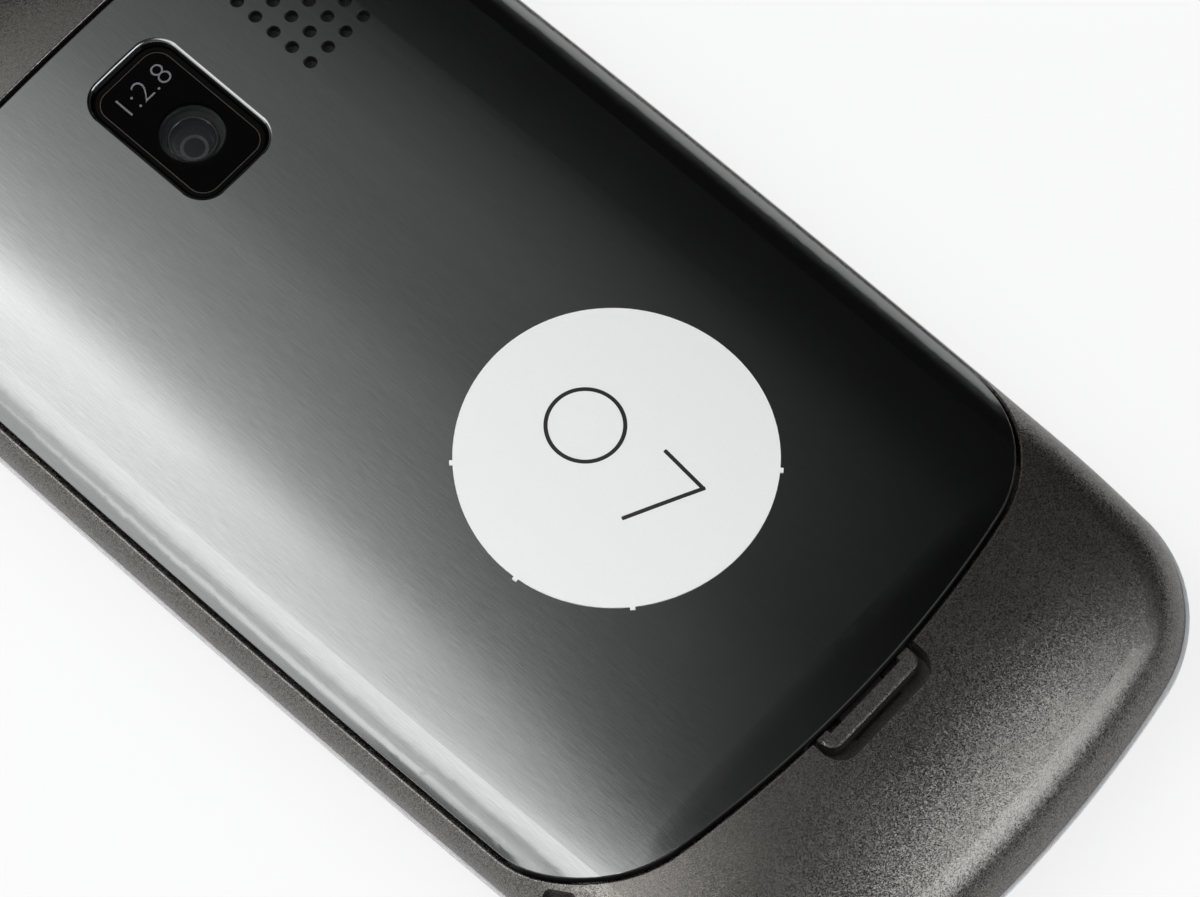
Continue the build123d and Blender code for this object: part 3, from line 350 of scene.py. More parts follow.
@dataclass(frozen=True)
class FlakePaint(Finish):
    """A paint whose metal flakes each tip their own way, so that single ones flash.

    Painted shade darkens the paint towards the floor of the catch's recess.
    """

    tip: float = 0.16
    recess_x: Pair = (-5.8 * MM, 5.8 * MM)
    recess_y: Pair = (-42.4 * MM, -38.6 * MM)
    recess_z: Pair = (13.0 * MM, 13.5 * MM)
    recess_painted_shade: Pair = (0.65, 0.0)

    def painted_shade_share(self, tree: Tree, place: Socket) -> Value | None:
        """Paints shade in the recess, darkest on its floor."""
        x, y, z = tree.add("SeparateXYZ", {0: place}).outputs
        return tree.product(tree.inside(x, self.recess_x), tree.inside(y, self.recess_y),
                            tree.remap(z, self.recess_z, self.recess_painted_shade))

    def normal(self, tree: Tree, pattern: Socket) -> Socket:
        """Tips each flake.

        Args:
            tree: The tree of the material.
            pattern: The grain, whose cells are the flakes.

        Returns:
            The surface's direction, flake by flake.
        """
        single = pattern.node.inputs[0].links[0].from_node
        cells = single.inputs[0].links[0].from_socket
        centred = tree.add("VectorMath", {0: cells, 1: (0.5, 0.5, 0.5)}, operation="SUBTRACT").outputs[0]
        tipped = tree.add("VectorMath", {0: centred, "Scale": self.tip}, operation="SCALE").outputs[0]
        straight = tree.add("NewGeometry").outputs["Normal"]
        mixed = tree.add("VectorMath", {0: straight, 1: tipped}, operation="ADD").outputs[0]
        return tree.add("VectorMath", {0: mixed}, operation="NORMALIZE").outputs[0]


# A finish gives its title, colour, roughness, its grain's size, shade and relief, and then what else it has.
FINISHES = {
    "brushed_cover": RolledMetal("brushed dark metal", (0.205, 0.21, 0.209), 0.13, 0.06, 0.11, 0.035,
                                 Grain.BRUSHED, 1.8, metallic=1.0, anisotropy=0.2, gloss=0.015, smudge=0.012),
    "sparkle_paint": FlakePaint("grey flake paint", (0.151, 0.143, 0.133), 0.29, 0.075, 0.6,
                                grain=Grain.FLAKES, metallic=0.9, gloss=0.06),
    "dark_chrome": Finish("polished trim metal", (0.62, 0.62, 0.63), 0.1, 0.2, 0.04, 0.03, Grain.DRAWN, 2.0,
                          metallic=1.0, gloss=0.03),
    "frame_black": Finish("fine matt black moulding", (0.03, 0.03, 0.032), 0.48, 0.14, 0.25, 0.3),
    "liner_black": Finish("black inner moulding", (0.042, 0.042, 0.045), 0.55, 0.2, 0.2, 0.2),
    "board_green": Finish("green board lacquer", (0.018, 0.145, 0.075), 0.35, 0.9, 0.35, 0.25, Grain.TRACKS,
                          coat=0.4),
    "dome_film": Finish("dome film", (0.7, 0.71, 0.69), 0.22, 0.5, 0.06, 0.05, metallic=0.4),
    "steel_sheet": Finish("stamped steel sheet", (0.56, 0.56, 0.55), 0.32, 0.1, 0.08, 0.08, Grain.DRAWN, 3.0,
                          metallic=1.0, gloss=0.06),
    "spring_steel": Finish("spring steel", (0.5, 0.51, 0.53), 0.26, 0.08, 0.1, 0.08, Grain.DRAWN, 1.0,
                           metallic=1.0),
    "battery_wrap": Finish("printed battery film", (0.085, 0.092, 0.11), 0.3, 0.6, 0.1, 0.06, coat=0.5,
                           smudge=0.06),
    "contact_gold": Finish("gold plate", (0.83, 0.6, 0.26), 0.24, 0.15, 0.08, 0.06, metallic=1.0),
    "camera_black": Finish("black camera barrel", (0.055, 0.056, 0.058), 0.3, 0.1, 0.2, 0.12),
    "lens_glass": Finish("coated lens", (0.07, 0.075, 0.08), 0.07, 0.8, 0.12, 0.01, ior=1.55, alpha=0.25,
                         gloss=0.02, smudge=0.01),
    "window_glass": SmokedGlass("smoked window", (0.002, 0.002, 0.002), 0.05, 1.5, 0.1, 0.01, ior=1.07,
                                alpha=0.97, gloss=0.02, smudge=0.02),
    "speaker_body": Finish("speaker moulding", (0.055, 0.055, 0.058), 0.4, 0.15, 0.18, 0.15),
    "cloth_black": Finish("acoustic cloth", (0.012, 0.012, 0.012), 0.85, 0.06, 0.6, 0.5, Grain.WOVEN,
                          sheen=0.1),
    "motor_steel": Finish("drawn motor can", (0.55, 0.55, 0.54), 0.28, 0.1, 0.1, 0.08, Grain.DRAWN, 2.0,
                          metallic=1.0),
    "tungsten": Finish("sintered weight", (0.3, 0.3, 0.31), 0.5, 0.1, 0.2, 0.25, metallic=1.0),
    "jack_black": Finish("socket moulding", (0.025, 0.025, 0.026), 0.36, 0.12, 0.2, 0.12),
    "carrier_white": Finish("antenna carrier", (0.7, 0.69, 0.64), 0.52, 0.2, 0.06, 0.15),
    "guide_white": Finish("slippery guide plastic", (0.8, 0.8, 0.77), 0.34, 0.18, 0.05, 0.08),
    "screw_black": Finish("blackened screw", (0.1, 0.1, 0.1), 0.36, 0.08, 0.2, 0.1, metallic=1.0),
    "flex_amber": Finish("amber ribbon film", (0.5, 0.24, 0.045), 0.28, 0.12, 0.3, 0.1, Grain.STRIPES, 40.0,
                         coat=0.5),
    "label_white": Finish("label paper", (0.88, 0.88, 0.875), 0.6, 0.12, 0.015, 0.05, Grain.FIBRES, 0.3,
                          smudge=0.02),
    "bezel_black": Finish("gloss black bezel", (0.018, 0.018, 0.02), 0.16, 0.3, 0.15, 0.03, coat=0.6,
                          gloss=0.03),
    "display_glass": Finish("display glass", (0.01, 0.01, 0.013), 0.05, 2.0, 0.1, 0.01, ior=1.6, alpha=0.45,
                            gloss=0.02),
    "lcd_panel": Finish("dark polariser", (0.03, 0.034, 0.045), 0.24, 0.09, 0.15, 0.03, Grain.WOVEN),
    "key_plastic": Finish("satin key plastic", (0.07, 0.07, 0.074), 0.34, 0.14, 0.15, 0.12, coat=0.2),
    "call_green": Finish("green key plastic", (0.06, 0.25, 0.09), 0.32, 0.14, 0.12, 0.1, coat=0.2),
    "end_red": Finish("red key plastic", (0.36, 0.04, 0.032), 0.32, 0.14, 0.12, 0.1, coat=0.2),
}
SATIN_RING = Finish("satin ring", (0.66, 0.66, 0.67), 0.38, 0.2, 0.05, 0.05, Grain.DRAWN, 2.0, metallic=0.2)
WINDOW_RIM = Finish("black window rim", (0.003, 0.003, 0.003), 0.3, 0.1, 0.2, 0.05, ior=1.1)
WINDOW_LINE = Finish("bevelled glass edge", (0.1, 0.09, 0.08), 0.3, 0.1, 0.15, 0.05, metallic=1.0)
LENS_STOP = Finish("lens stop", (0.16, 0.16, 0.165), 0.16, 0.08, 0.2, 0.06, metallic=1.0)
MARK_LIGHT = Finish("pale print", (0.62, 0.63, 0.65), 0.45, 0.05, 0.08, 0.05)
MARK_DARK = Finish("black print", (0.012, 0.012, 0.012), 0.5, 0.05, 0.15, 0.05)
MARK_GREY = Finish("grey print", (0.14, 0.14, 0.148), 0.5, 0.05, 0.1, 0.05)

# Corners that lie nearer to each other than this are one, on a shape and on a printed mark
SHAPE_WELD = 0.0005 * MM
MARK_WELD = 0.001 * MM

# How tall a capital is, as a share of the size of its font
CAPITAL_SHARE = 0.7

# How far a stroke that crosses another one lies above it, as a share of the ink
LAP_LIFT = 0.2


def face_middle(node: str, height: float) -> Vector:
    """Gives the middle of a node's box, moved to a height."""
    low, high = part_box(node)
    return Vector(((low.x + high.x) / 2, (low.y + high.y) / 2, height))


def new_object(name: str, data: bpy.types.ID) -> bpy.types.Object:
    """Puts a new object in the scene.

    Args:
        name: Its name.
        data: Its mesh, text, lamp or camera.

    Returns:
        The object.
    """
    made = bpy.data.objects.new(name, data)
    bpy.context.scene.collection.objects.link(made)
    return made


def add_piece(name: str, mesh: bpy.types.Mesh, finish: Finish, body: str | None) -> bpy.types.Object:
    """Makes a finished piece of a mesh.

    Args:
        name: The piece's name.
        mesh: Its mesh, in place.
        finish: Its finish.
        body: The body that it rides on, or nothing for a piece that bends between two.

    Returns:
        The piece.
    """
    piece = new_object(name, mesh)
    mesh.materials.clear()
    mesh.materials.append(finish.material())
    if body:
        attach(piece, body)
    LOG.info("made %s with %d faces", name, len(mesh.polygons))
    return piece


def shaped(name: str, shape: Callable[[Mesh], object], smooth_angle: float = 35.0) -> bpy.types.Mesh:
    """Makes a mesh with bmesh operators.

    Args:
        name: The mesh's name.
        shape: What draws the shape.
        smooth_angle: Edges that turn more than this many degrees stay sharp.

    Returns:
        The mesh, with its faces pointing out.
    """
    form = bmesh.new()
    shape(form)
    bmesh.ops.remove_doubles(form, verts=form.verts, dist=SHAPE_WELD)
    bmesh.ops.recalc_face_normals(form, faces=form.faces)
    for face in form.faces:
        face.smooth = True
    for edge in form.edges:
        edge.smooth = len(edge.link_faces) == 2 and edge.calc_face_angle(0.0) < math.radians(smooth_angle)
    mesh = bpy.data.meshes.new(name)
    form.to_mesh(mesh)
    form.free()
    return mesh


def thicken(form: Mesh, thickness: float) -> None:
    """Gives every face of a mesh a thickness."""
    bmesh.ops.solidify(form, geom=form.verts[:] + form.edges[:] + form.faces[:], thickness=thickness)


def turned_ring(form: Mesh, centre: Vector, profile: Sequence[Pair], steps: int = 96) -> None:
    """Turns a closed profile into a ring about an upright axis.

    Args:
        form: The mesh that it goes into.
        centre: A point on the axis, at the profile's zero height.
        profile: The corners of the section, as distance from the axis and height.
        steps: How many flats the ring has.
    """
    corners = [form.verts.new(centre + Vector((radius, 0, height))) for radius, height in profile]
    edges = [form.edges.new((a, b)) for a, b in zip(corners, corners[1:] + corners[:1])]
    bmesh.ops.spin(form, geom=corners + edges, cent=centre, axis=(0, 0, 1), angle=math.tau, steps=steps,
                   use_merge=True, use_duplicate=False)


def bar(form: Mesh, centre: Vector, size: Place, turn: float = 0.0, round_off: float = 0.3) -> None:
    """Adds a flat bar with rounded ends.

    Args:
        form: The mesh that it goes into.
        centre: Its middle.
        size: Its width, length and thickness.
        turn: Degrees that it is turned about the upright axis.
        round_off: The corner radius, as a share of the narrower side.
    """
    corners = bmesh.ops.create_cube(form, size=1.0)["verts"]
    bmesh.ops.scale(form, vec=size, verts=corners)
    edges = {edge for corner in corners for edge in corner.link_edges}
    upright = [e for e in edges if e.verts[0].co.z * e.verts[1].co.z < 0.0]
    bevelled = bmesh.ops.bevel(form, geom=upright, offset=min(size[:2]) * round_off, segments=4, profile=0.5,
                               affect="EDGES", material=-1)
    around = {v for f in bevelled["faces"] for v in f.verts} | {v for v in corners if v.is_valid}
    place = Matrix.Translation(centre) @ Matrix.Rotation(math.radians(turn), 4, "Z")
    bmesh.ops.transform(form, matrix=place, verts=list(around))


def add_shape(name: str, shape: Callable[[Mesh], object], finish: Finish, body: str | None) -> bpy.types.Object:
    """Makes a finished piece of what draws its shape."""
    return add_piece(name, shaped(name, shape), finish, body)


@dataclass(frozen=True)
class PackedPieces:
    """The phone's own pieces, each finished as its slot says, apart from a few."""

    others: tuple[tuple[str, Finish], ...] = (("window_bezel", WINDOW_RIM), ("trim_ring", SATIN_RING))

    def build(self) -> None:
        """Gives every piece its finish."""
        for row in frame["record"]["subparts"]:
            finish = dict(self.others).get(row["node"], FINISHES[row["material_slot"]])
            for place in frame["nodes"][row["node"]].material_slots:
                place.material = finish.material()
            LOG.info("dressed %s in %s", row["node"], finish.title)


@dataclass(frozen=True)
class Print:
    """A printed mark of plain text.

    Sizes are in metres. The thickness is that of the ink, and thin is how much each stroke is drawn
    in on both sides.
    """

    text: str
    height: float
    thickness: float = 0.02 * MM
    thin: float = 0.0
    facing: Facing = Facing.BACK

    def mesh(self, name: str, place: Vector) -> bpy.types.Mesh:
        """Makes the mark's mesh.

        Args:
            name: The mesh's name.
            place: The middle of the mark, on the surface that carries it.

        Returns:
            The mesh, in place.
        """
        font = bpy.data.curves.new(name, "FONT")
        font.body = self.text
        font.size = self.height / CAPITAL_SHARE
        font.align_x, font.align_y = "CENTER", "CENTER"
        font.offset = -self.thin
        font.extrude = self.thickness / 2
        font.resolution_u = 5
        carrier = new_object(name + "_font", font)
        bpy.context.view_layer.update()
        evaluated = carrier.evaluated_get(bpy.context.evaluated_depsgraph_get())
        mesh = bpy.data.meshes.new_from_object(evaluated)
        bpy.data.objects.remove(carrier)
        bpy.data.curves.remove(font)
        mesh.name = name
        over = Matrix.Rotation(math.pi, 4, "Y") if self.facing is Facing.FRONT else Matrix.Identity(4)
        mesh.transform(Matrix.Translation(place) @ over)
        form = bmesh.new()
        form.from_mesh(mesh)
        bmesh.ops.remove_doubles(form, verts=form.verts, dist=MARK_WELD)
        bmesh.ops.recalc_face_normals(form, faces=form.faces)
        form.to_mesh(mesh)
        form.free()
        return mesh


@dataclass
class RoundLabel:
    """The paper disc on the back, with a plain number in thin strokes.

    The number is a ring for the nought and two bars for the seven. It reads towards the phone's foot.
    """

    crown_radius: float = 117.6 * MM
    stroke: float = 0.32 * MM
    ink: float = 0.015 * MM
    ring_radius: float = 3.2 * MM
    digit_gap: float = 2.4 * MM
    seven: Pair = (4.4 * MM, 6.4 * MM)
    seven_lean: float = 0.55
    turn: float = -95.0
    longest_edge: float = 1.5 * MM

    def draw(self, form: Mesh) -> None:
        """Draws the number flat, about its own middle.

        Args:
            form: The mesh that it goes into.
        """
        wide, tall = self.seven
        shift = (2 * self.ring_radius + self.digit_gap + wide) / 2
        ring = Vector((self.ring_radius - shift, 0, 0))
        inner, outer = self.ring_radius - self.stroke, self.ring_radius
        turned_ring(form, ring, ((inner, 0), (outer, 0), (outer, self.ink), (inner, self.ink)))
        left = 2 * self.ring_radius + self.digit_gap - shift
        head = Vector((left + wide / 2, (tall - self.stroke) / 2, self.ink / 2))
        bar(form, head, (wide, self.stroke, self.ink))
        lean = wide * self.seven_lean
        leg = Vector((left + wide - lean / 2, 0, self.ink * (0.5 + LAP_LIFT)))
        turn = -math.degrees(math.atan2(lean, tall))
        bar(form, leg, (self.stroke, math.hypot(lean, tall), self.ink), turn)

    def build(self) -> None:
        """Prints the number on the disc, following the crown of the back."""
        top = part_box("round_sticker")[1].z
        place = Matrix.Translation(face_middle("round_sticker", top))
        place = place @ Matrix.Rotation(math.radians(self.turn), 4, "Z")

        def shape(form: Mesh) -> None:
            """Draws the number, puts it on the disc and lets it follow the crown.

            Args:
                form: The mesh that it goes into.
            """
            self.draw(form)
            long = [edge for edge in form.edges if edge.calc_length() > self.longest_edge]
            bmesh.ops.subdivide_edges(form, edges=long, cuts=6)
            for corner in form.verts:
                rise = corner.co.z
                corner.co = place @ corner.co
                fall = self.crown_radius - math.sqrt(self.crown_radius**2 - corner.co.x**2)
                corner.co.z = top - fall + rise

        add_shape("label_number", shape, MARK_DARK, "battery_cover")


@dataclass
class CameraUnit:
    """The camera behind its window: barrel rings, coated pupil and the window's printed ratio."""

    flange: Pair = (2.62 * MM, 3.06 * MM)
    stop: Pair = (1.82 * MM, 1.98 * MM)
    stop_depth: float = 0.22 * MM
    pupil: Pair = (0.86 * MM, 1.14 * MM)
    pupil_depth: float = 1.9 * MM
    ring_height: float = 0.10 * MM
    ring_edge: float = 0.03 * MM
    ratio: Print = Print("1:2.8", 2.0 * MM, thin=0.06 * MM)
    ratio_drop: float = 4.0 * MM
    line_width: float = 0.07 * MM
    line_inset: float = 0.03 * MM
    line_corner: float = 1.5 * MM
    line_thickness: float = 0.01 * MM

    def ring(self, name: str, radii: Pair, height: float, finish: Finish) -> None:
        """Turns one thin ring with rounded edges.

        Args:
            name: The piece's name.
            radii: Its inner and outer radius.
            height: The height of the step that it lies on.
            finish: Its finish.
        """
        inner, outer = radii
        edge, top = self.ring_edge, self.ring_height
        section = ((inner, 0), (outer, 0), (outer, top - edge), (outer - edge, top), (inner + edge, top),
                   (inner, top - edge))
        draw = partial(turned_ring, centre=face_middle("camera_lens", height), profile=section)
        add_shape(name, draw, finish, "rear_half")

    def edge_line(self) -> None:
        """Draws the thin bright line of the window's bevelled edge."""
        low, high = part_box("camera_window")
        size = (high.x - low.x - 2 * self.line_inset, high.y - low.y - 2 * self.line_inset, 1.0)
        centre = face_middle("camera_window", high.z + self.line_thickness / 2)

        def shape(form: Mesh) -> None:
            """Draws a rounded rectangle and keeps only a thin band along its edge.

            Args:
                form: The mesh that it goes into.
            """
            corners = bmesh.ops.create_grid(form, x_segments=1, y_segments=1, size=0.5)["verts"]
            bmesh.ops.scale(form, vec=size, verts=corners)
            bmesh.ops.bevel(form, geom=corners, offset=self.line_corner, segments=10, profile=0.5,
                            affect="VERTICES", material=-1)
            inner = form.faces[:]
            bmesh.ops.inset_region(form, faces=inner, thickness=self.line_width, use_boundary=True,
                                   use_even_offset=True)
            bmesh.ops.delete(form, geom=inner, context="FACES")
            thicken(form, self.line_thickness)
            bmesh.ops.translate(form, verts=form.verts, vec=centre)

        add_shape("window_edge_line", shape, WINDOW_LINE, "battery_cover")

    def build(self) -> None:
        """Builds the rings, the line and the print."""
        barrel_top, lens_top, glass_top = (
            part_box(node)[1].z for node in ("camera_module", "camera_lens", "camera_window"))
        self.ring("barrel_ring", self.flange, barrel_top, FINISHES["camera_black"])
        self.ring("lens_stop", self.stop, lens_top - self.stop_depth, LENS_STOP)
        self.ring("pupil_ring", self.pupil, barrel_top - self.pupil_depth, FINISHES["steel_sheet"])
        self.edge_line()
        place = face_middle("camera_window", glass_top + self.ratio.thickness / 2)
        place.y += self.ratio_drop
        mesh = self.ratio.mesh("window_ratio", place)
        add_piece("window_ratio", mesh, MARK_GREY, "battery_cover")


@dataclass
class CameraKey:
    """The camera's shutter key, a strip of the rim that follows its round edge and the side's bow."""

    rim_z: float = 6.68 * MM
    rim_radius: float = 5.5 * MM
    rim_half: float = 28.2 * MM
    bow_y: float = -1.0 * MM
    bow_radius: float = 1667.0 * MM
    proud: float = 0.04 * MM
    depth: float = 1.2 * MM
    edge: float = 0.10 * MM
    longest_edge: float = 0.8 * MM

    def build(self) -> None:
        """Builds the key and bends it to the rim."""
        low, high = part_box("camera_key")
        size = (self.depth, high.y - low.y, high.z - low.z)
        centre = face_middle("camera_key", (low.z + high.z) / 2)
        centre.x = self.rim_half + self.proud - self.depth / 2

        def shape(form: Mesh) -> None:
            """Draws a block with round edges and shifts each slice of it in to the rim.

            Args:
                form: The mesh that it goes into.
            """
            corners = bmesh.ops.create_cube(form, size=1.0)["verts"]
            bmesh.ops.scale(form, vec=size, verts=corners)
            bmesh.ops.translate(form, verts=corners, vec=centre)
            bmesh.ops.bevel(form, geom=form.edges[:], offset=self.edge, segments=3, profile=0.5,
                            affect="EDGES", material=-1)
            long = [edge for edge in form.edges if edge.calc_length() > self.longest_edge]
            bmesh.ops.subdivide_edges(form, edges=long, cuts=9, use_grid_fill=True)
            for corner in form.verts:
                rise = corner.co.z - self.rim_z
                drop = self.rim_radius - math.sqrt(self.rim_radius**2 - rise**2)
                corner.co.x -= drop + (corner.co.y - self.bow_y)**2 / (2 * self.bow_radius)

        key = add_shape("camera_key_cap", shape, FINISHES["key_plastic"], "camera_key")
        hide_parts("camera_key")


@dataclass
class Keypad:
    """The number keys' printed signs."""

    height: float = 2.9 * MM
    thin: float = 0.05 * MM
    signs: str = "123456789*0#"

    def build(self) -> None:
        """Prints one sign on each key."""
        for sign in self.signs:
            name = {"*": "star", "#": "hash"}.get(sign, sign)
            place = face_middle(f"key_{name}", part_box(f"key_{name}")[0].z)
            mesh = Print(sign, self.height, thin=self.thin, facing=Facing.FRONT).mesh(f"sign_{name}", place)
            add_piece(f"sign_{name}", mesh, MARK_LIGHT, f"key_{name}")


@dataclass
class FrontKeys:
    """The bars and points on the keys under the display. A bar's size is its width and length."""

    ink: float = 0.02 * MM
    soft_bar: Pair = (3.2 * MM, 0.5 * MM)
    call_bar: Pair = (4.4 * MM, 0.9 * MM)
    bar_round: float = 0.45
    point_reach: float = 6.4 * MM
    point_size: float = 0.45 * MM
    select_ring: Pair = (1.5 * MM, 1.8 * MM)

    def face(self, node: str) -> Vector:
        """Gives the middle of a key's face."""
        return face_middle(node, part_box(node)[0].z)

    def points(self, form: Mesh) -> None:
        """Draws four points, one on each side of the navigation ring.

        Args:
            form: The mesh that they go into.
        """
        ring = self.face("navigation_ring")
        for quarter in range(4):
            reach = Matrix.Rotation(quarter * math.pi / 2, 4, "Z") @ Vector((self.point_reach, 0, 0))
            place = Matrix.Translation(ring + reach)
            bmesh.ops.create_cone(form, cap_ends=True, segments=24, radius1=self.point_size,
                                  radius2=self.point_size, depth=self.ink, matrix=place)

    def build(self) -> None:
        """Marks the soft keys, the call keys, the navigation ring and the select key."""
        for node, size, slot in (("left_soft_key", self.soft_bar, "key_plastic"),
                                 ("right_soft_key", self.soft_bar, "key_plastic"),
                                 ("call_key", self.call_bar, "call_green"),
                                 ("end_key", self.call_bar, "end_red")):
            draw = partial(bar, centre=self.face(node), size=(*size, self.ink), round_off=self.bar_round)
            add_shape(f"{node}_bar", draw, MARK_LIGHT, node)
        add_shape("navigation_points", self.points, MARK_LIGHT, "navigation_ring")
        half, (inner, outer) = self.ink / 2, self.select_ring
        section = ((inner, -half), (outer, -half), (outer, half), (inner, half))
        draw = partial(turned_ring, centre=self.face("select_key"), profile=section, steps=64)
        add_shape("select_mark", draw, MARK_LIGHT, "select_key")


@dataclass
class BatteryMarks:
    """The plus and minus signs beside the battery's contacts and the line round its print."""

    arm: float = 2.2 * MM
    stroke: float = 0.45 * MM
    ink: float = 0.02 * MM
    from_head: float = 3.4 * MM
    spread: float = 4.6 * MM
    sign_round: float = 0.2
    frame_inset: float = 1.6 * MM
    frame_line: float = 0.25 * MM

    def signs(self, form: Mesh) -> None:
        """Draws a plus on one side and a minus on the other.

        Args:
            form: The mesh that they go into.
        """
        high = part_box("battery")[1]
        y, flat = high.y - self.from_head, (self.arm, self.stroke, self.ink)
        for x, turn in ((self.spread, 0.0), (self.spread, 90.0), (-self.spread, 0.0)):
            lift = self.ink * LAP_LIFT if turn else 0.0
            bar(form, Vector((x, y, high.z + lift)), flat, turn, self.sign_round)

    def outline(self, form: Mesh) -> None:
        """Draws four thin lines along the edges of the print.

        Args:
            form: The mesh that they go into.
        """
        low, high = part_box("battery")
        wide = high.x - low.x - 2 * self.frame_inset
        tall = high.y - low.y - 2 * self.frame_inset - self.from_head
        centre = face_middle("battery", high.z) - Vector((0, self.from_head / 2, 0))
        for side in (-1, 1):
            bar(form, centre + Vector((side * wide / 2, 0, 0)), (self.frame_line, tall, self.ink))
            bar(form, centre + Vector((0, side * tall / 2, 0)), (wide, self.frame_line, self.ink))

    def build(self) -> None:
        """Prints the signs and the line."""
        add_shape("battery_signs", self.signs, MARK_LIGHT, "rear_half")
        add_shape("battery_outline", self.outline, MARK_GREY, "rear_half")


@dataclass
class SoftLinks:
    """The parts that bend: the ribbon between the halves and the spring behind the catch.

    The ribbon runs from the main board, ramps down, folds over and ramps down again to the display
    board. A spring's turn is its distance from the catch, in millimetres.
    """

    ribbon_thick: float = 0.15 * MM
    board_y: float = -3.0 * MM
    board_run: float = 2.0 * MM
    board_ramp: float = 1.6 * MM
    board_drop: float = 1.225 * MM
    display_ramp: float = 1.4 * MM
    display_run: float = 1.4 * MM
    display_drop: float = 0.825 * MM
    fold_steps: int = 16
    run_step: float = 1.0 * MM
    spring_thick: float = 0.2 * MM
    spring_half: float = 2.4 * MM
    spring_turns: tuple[float, ...] = (0.0, 1.05, 2.05, 3.15, 4.3, 4.3)
    spring_step: int = 6

    def strip(self, form: Mesh, edge: list[Edge], move: Vector, steps: int) -> list[Edge]:
        """Draws an edge out along a straight run.

        Args:
            form: The mesh that it is in.
            edge: The edge that is drawn out.
            move: How far it goes.
            steps: How many faces long the run is.

        Returns:
            The edge at the far end.
        """
        for _ in range(steps):
            made = bmesh.ops.extrude_edge_only(form, edges=edge)["geom"]
            corners = [v for v in made if isinstance(v, bmesh.types.BMVert)]
            bmesh.ops.translate(form, verts=corners, vec=move / steps)
            edge = [e for e in made if isinstance(e, Edge) and all(v in corners for v in e.verts)]
        return edge

    def ribbon(self) -> None:
        """Builds the flexible ribbon, with its fold between the halves."""
        low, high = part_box("flex_cable")
        half = self.ribbon_thick / 2
        fold_radius = (high.z - half - self.board_drop - (low.z + half + self.display_drop)) / 2
        fold_y = high.y - half - fold_radius

        def shape(form: Mesh) -> None:
            """Draws the ribbon's middle face from the main board to the display board.

            Args:
                form: The mesh that it goes into.
            """
            ends = [form.verts.new((x, self.board_y, high.z - half)) for x in (low.x, high.x)]
            edge = self.strip(form, [form.edges.new(ends)], Vector((0, self.board_run, 0)), 2)
            edge = self.strip(form, edge, Vector((0, self.board_ramp, -self.board_drop)), 3)
            run = fold_y - (self.board_y + self.board_run + self.board_ramp)
            edge = self.strip(form, edge, Vector((0, run, 0)), round(run / self.run_step))
            centre = Vector((0, fold_y, edge[0].verts[0].co.z - fold_radius))
            folded = bmesh.ops.spin(form, geom=[*edge[0].verts, edge[0]], cent=centre, axis=(-1, 0, 0),
                                    angle=math.pi, steps=self.fold_steps, use_merge=False,
                                    use_duplicate=False)["geom_last"]
            edge = [e for e in folded if isinstance(e, Edge)]
            back = fold_y - (low.y + self.display_run + self.display_ramp)
            edge = self.strip(form, edge, Vector((0, -back, 0)), round(back / self.run_step))
            edge = self.strip(form, edge, Vector((0, -self.display_ramp, -self.display_drop)), 3)
            self.strip(form, edge, Vector((0, -self.display_run, 0)), 2)
            bmesh.ops.recalc_face_normals(form, faces=form.faces)
            thicken(form, self.ribbon_thick)

        piece = add_shape("flex_ribbon", shape, FINISHES["flex_amber"], None)
        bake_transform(piece)
        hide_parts("flex_cable")

    def spring(self) -> None:
        """Builds the folded strip spring behind the release catch."""
        low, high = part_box("catch_spring")
        half = self.spring_thick / 2
        near = high.y - half

        def shape(form: Mesh) -> None:
            """Draws the strip to and fro.

            Args:
                form: The mesh that it goes into.
            """
            here = Vector((-self.spring_half, near, 0))
            ends = [form.verts.new((here.x, near, z)) for z in (low.z, high.z)]
            edge = [form.edges.new(ends)]
            for number, turn in enumerate(self.spring_turns):
                side = -self.spring_half if number % 2 else self.spring_half
                there = Vector((side, near - turn * MM, 0))
                edge = self.strip(form, edge, there - here, self.spring_step)
                here = there
            bmesh.ops.recalc_face_normals(form, faces=form.faces)
            thicken(form, self.spring_thick)

        piece = add_shape("folded_spring", shape, FINISHES["spring_steel"], None)
        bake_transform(piece)
        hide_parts("catch_spring")

    def build(self) -> None:
        """Builds both soft parts."""
        self.ribbon()
        self.spring()


@dataclass(frozen=True)
class Panel:
    """A square lamp that looks at the phone. A level of 1 is white."""

    name: str
    place: Place
    size: float
    level: float
    color: Color = (1.0, 1.0, 1.0)

    def hang(self) -> None:
        """Hangs the lamp."""
        lamp = bpy.data.lights.new(self.name, "AREA")
        lamp.shape, lamp.size, lamp.color = "SQUARE", self.size, self.color
        lamp.energy = math.pi * self.size * self.size * self.level
        hung = new_object(self.name, lamp)
        hung.rotation_mode = "QUATERNION"
        hung.location = self.place
        hung.rotation_quaternion = (-Vector(self.place)).to_track_quat("-Z", "Y")
        hung.visible_camera = False


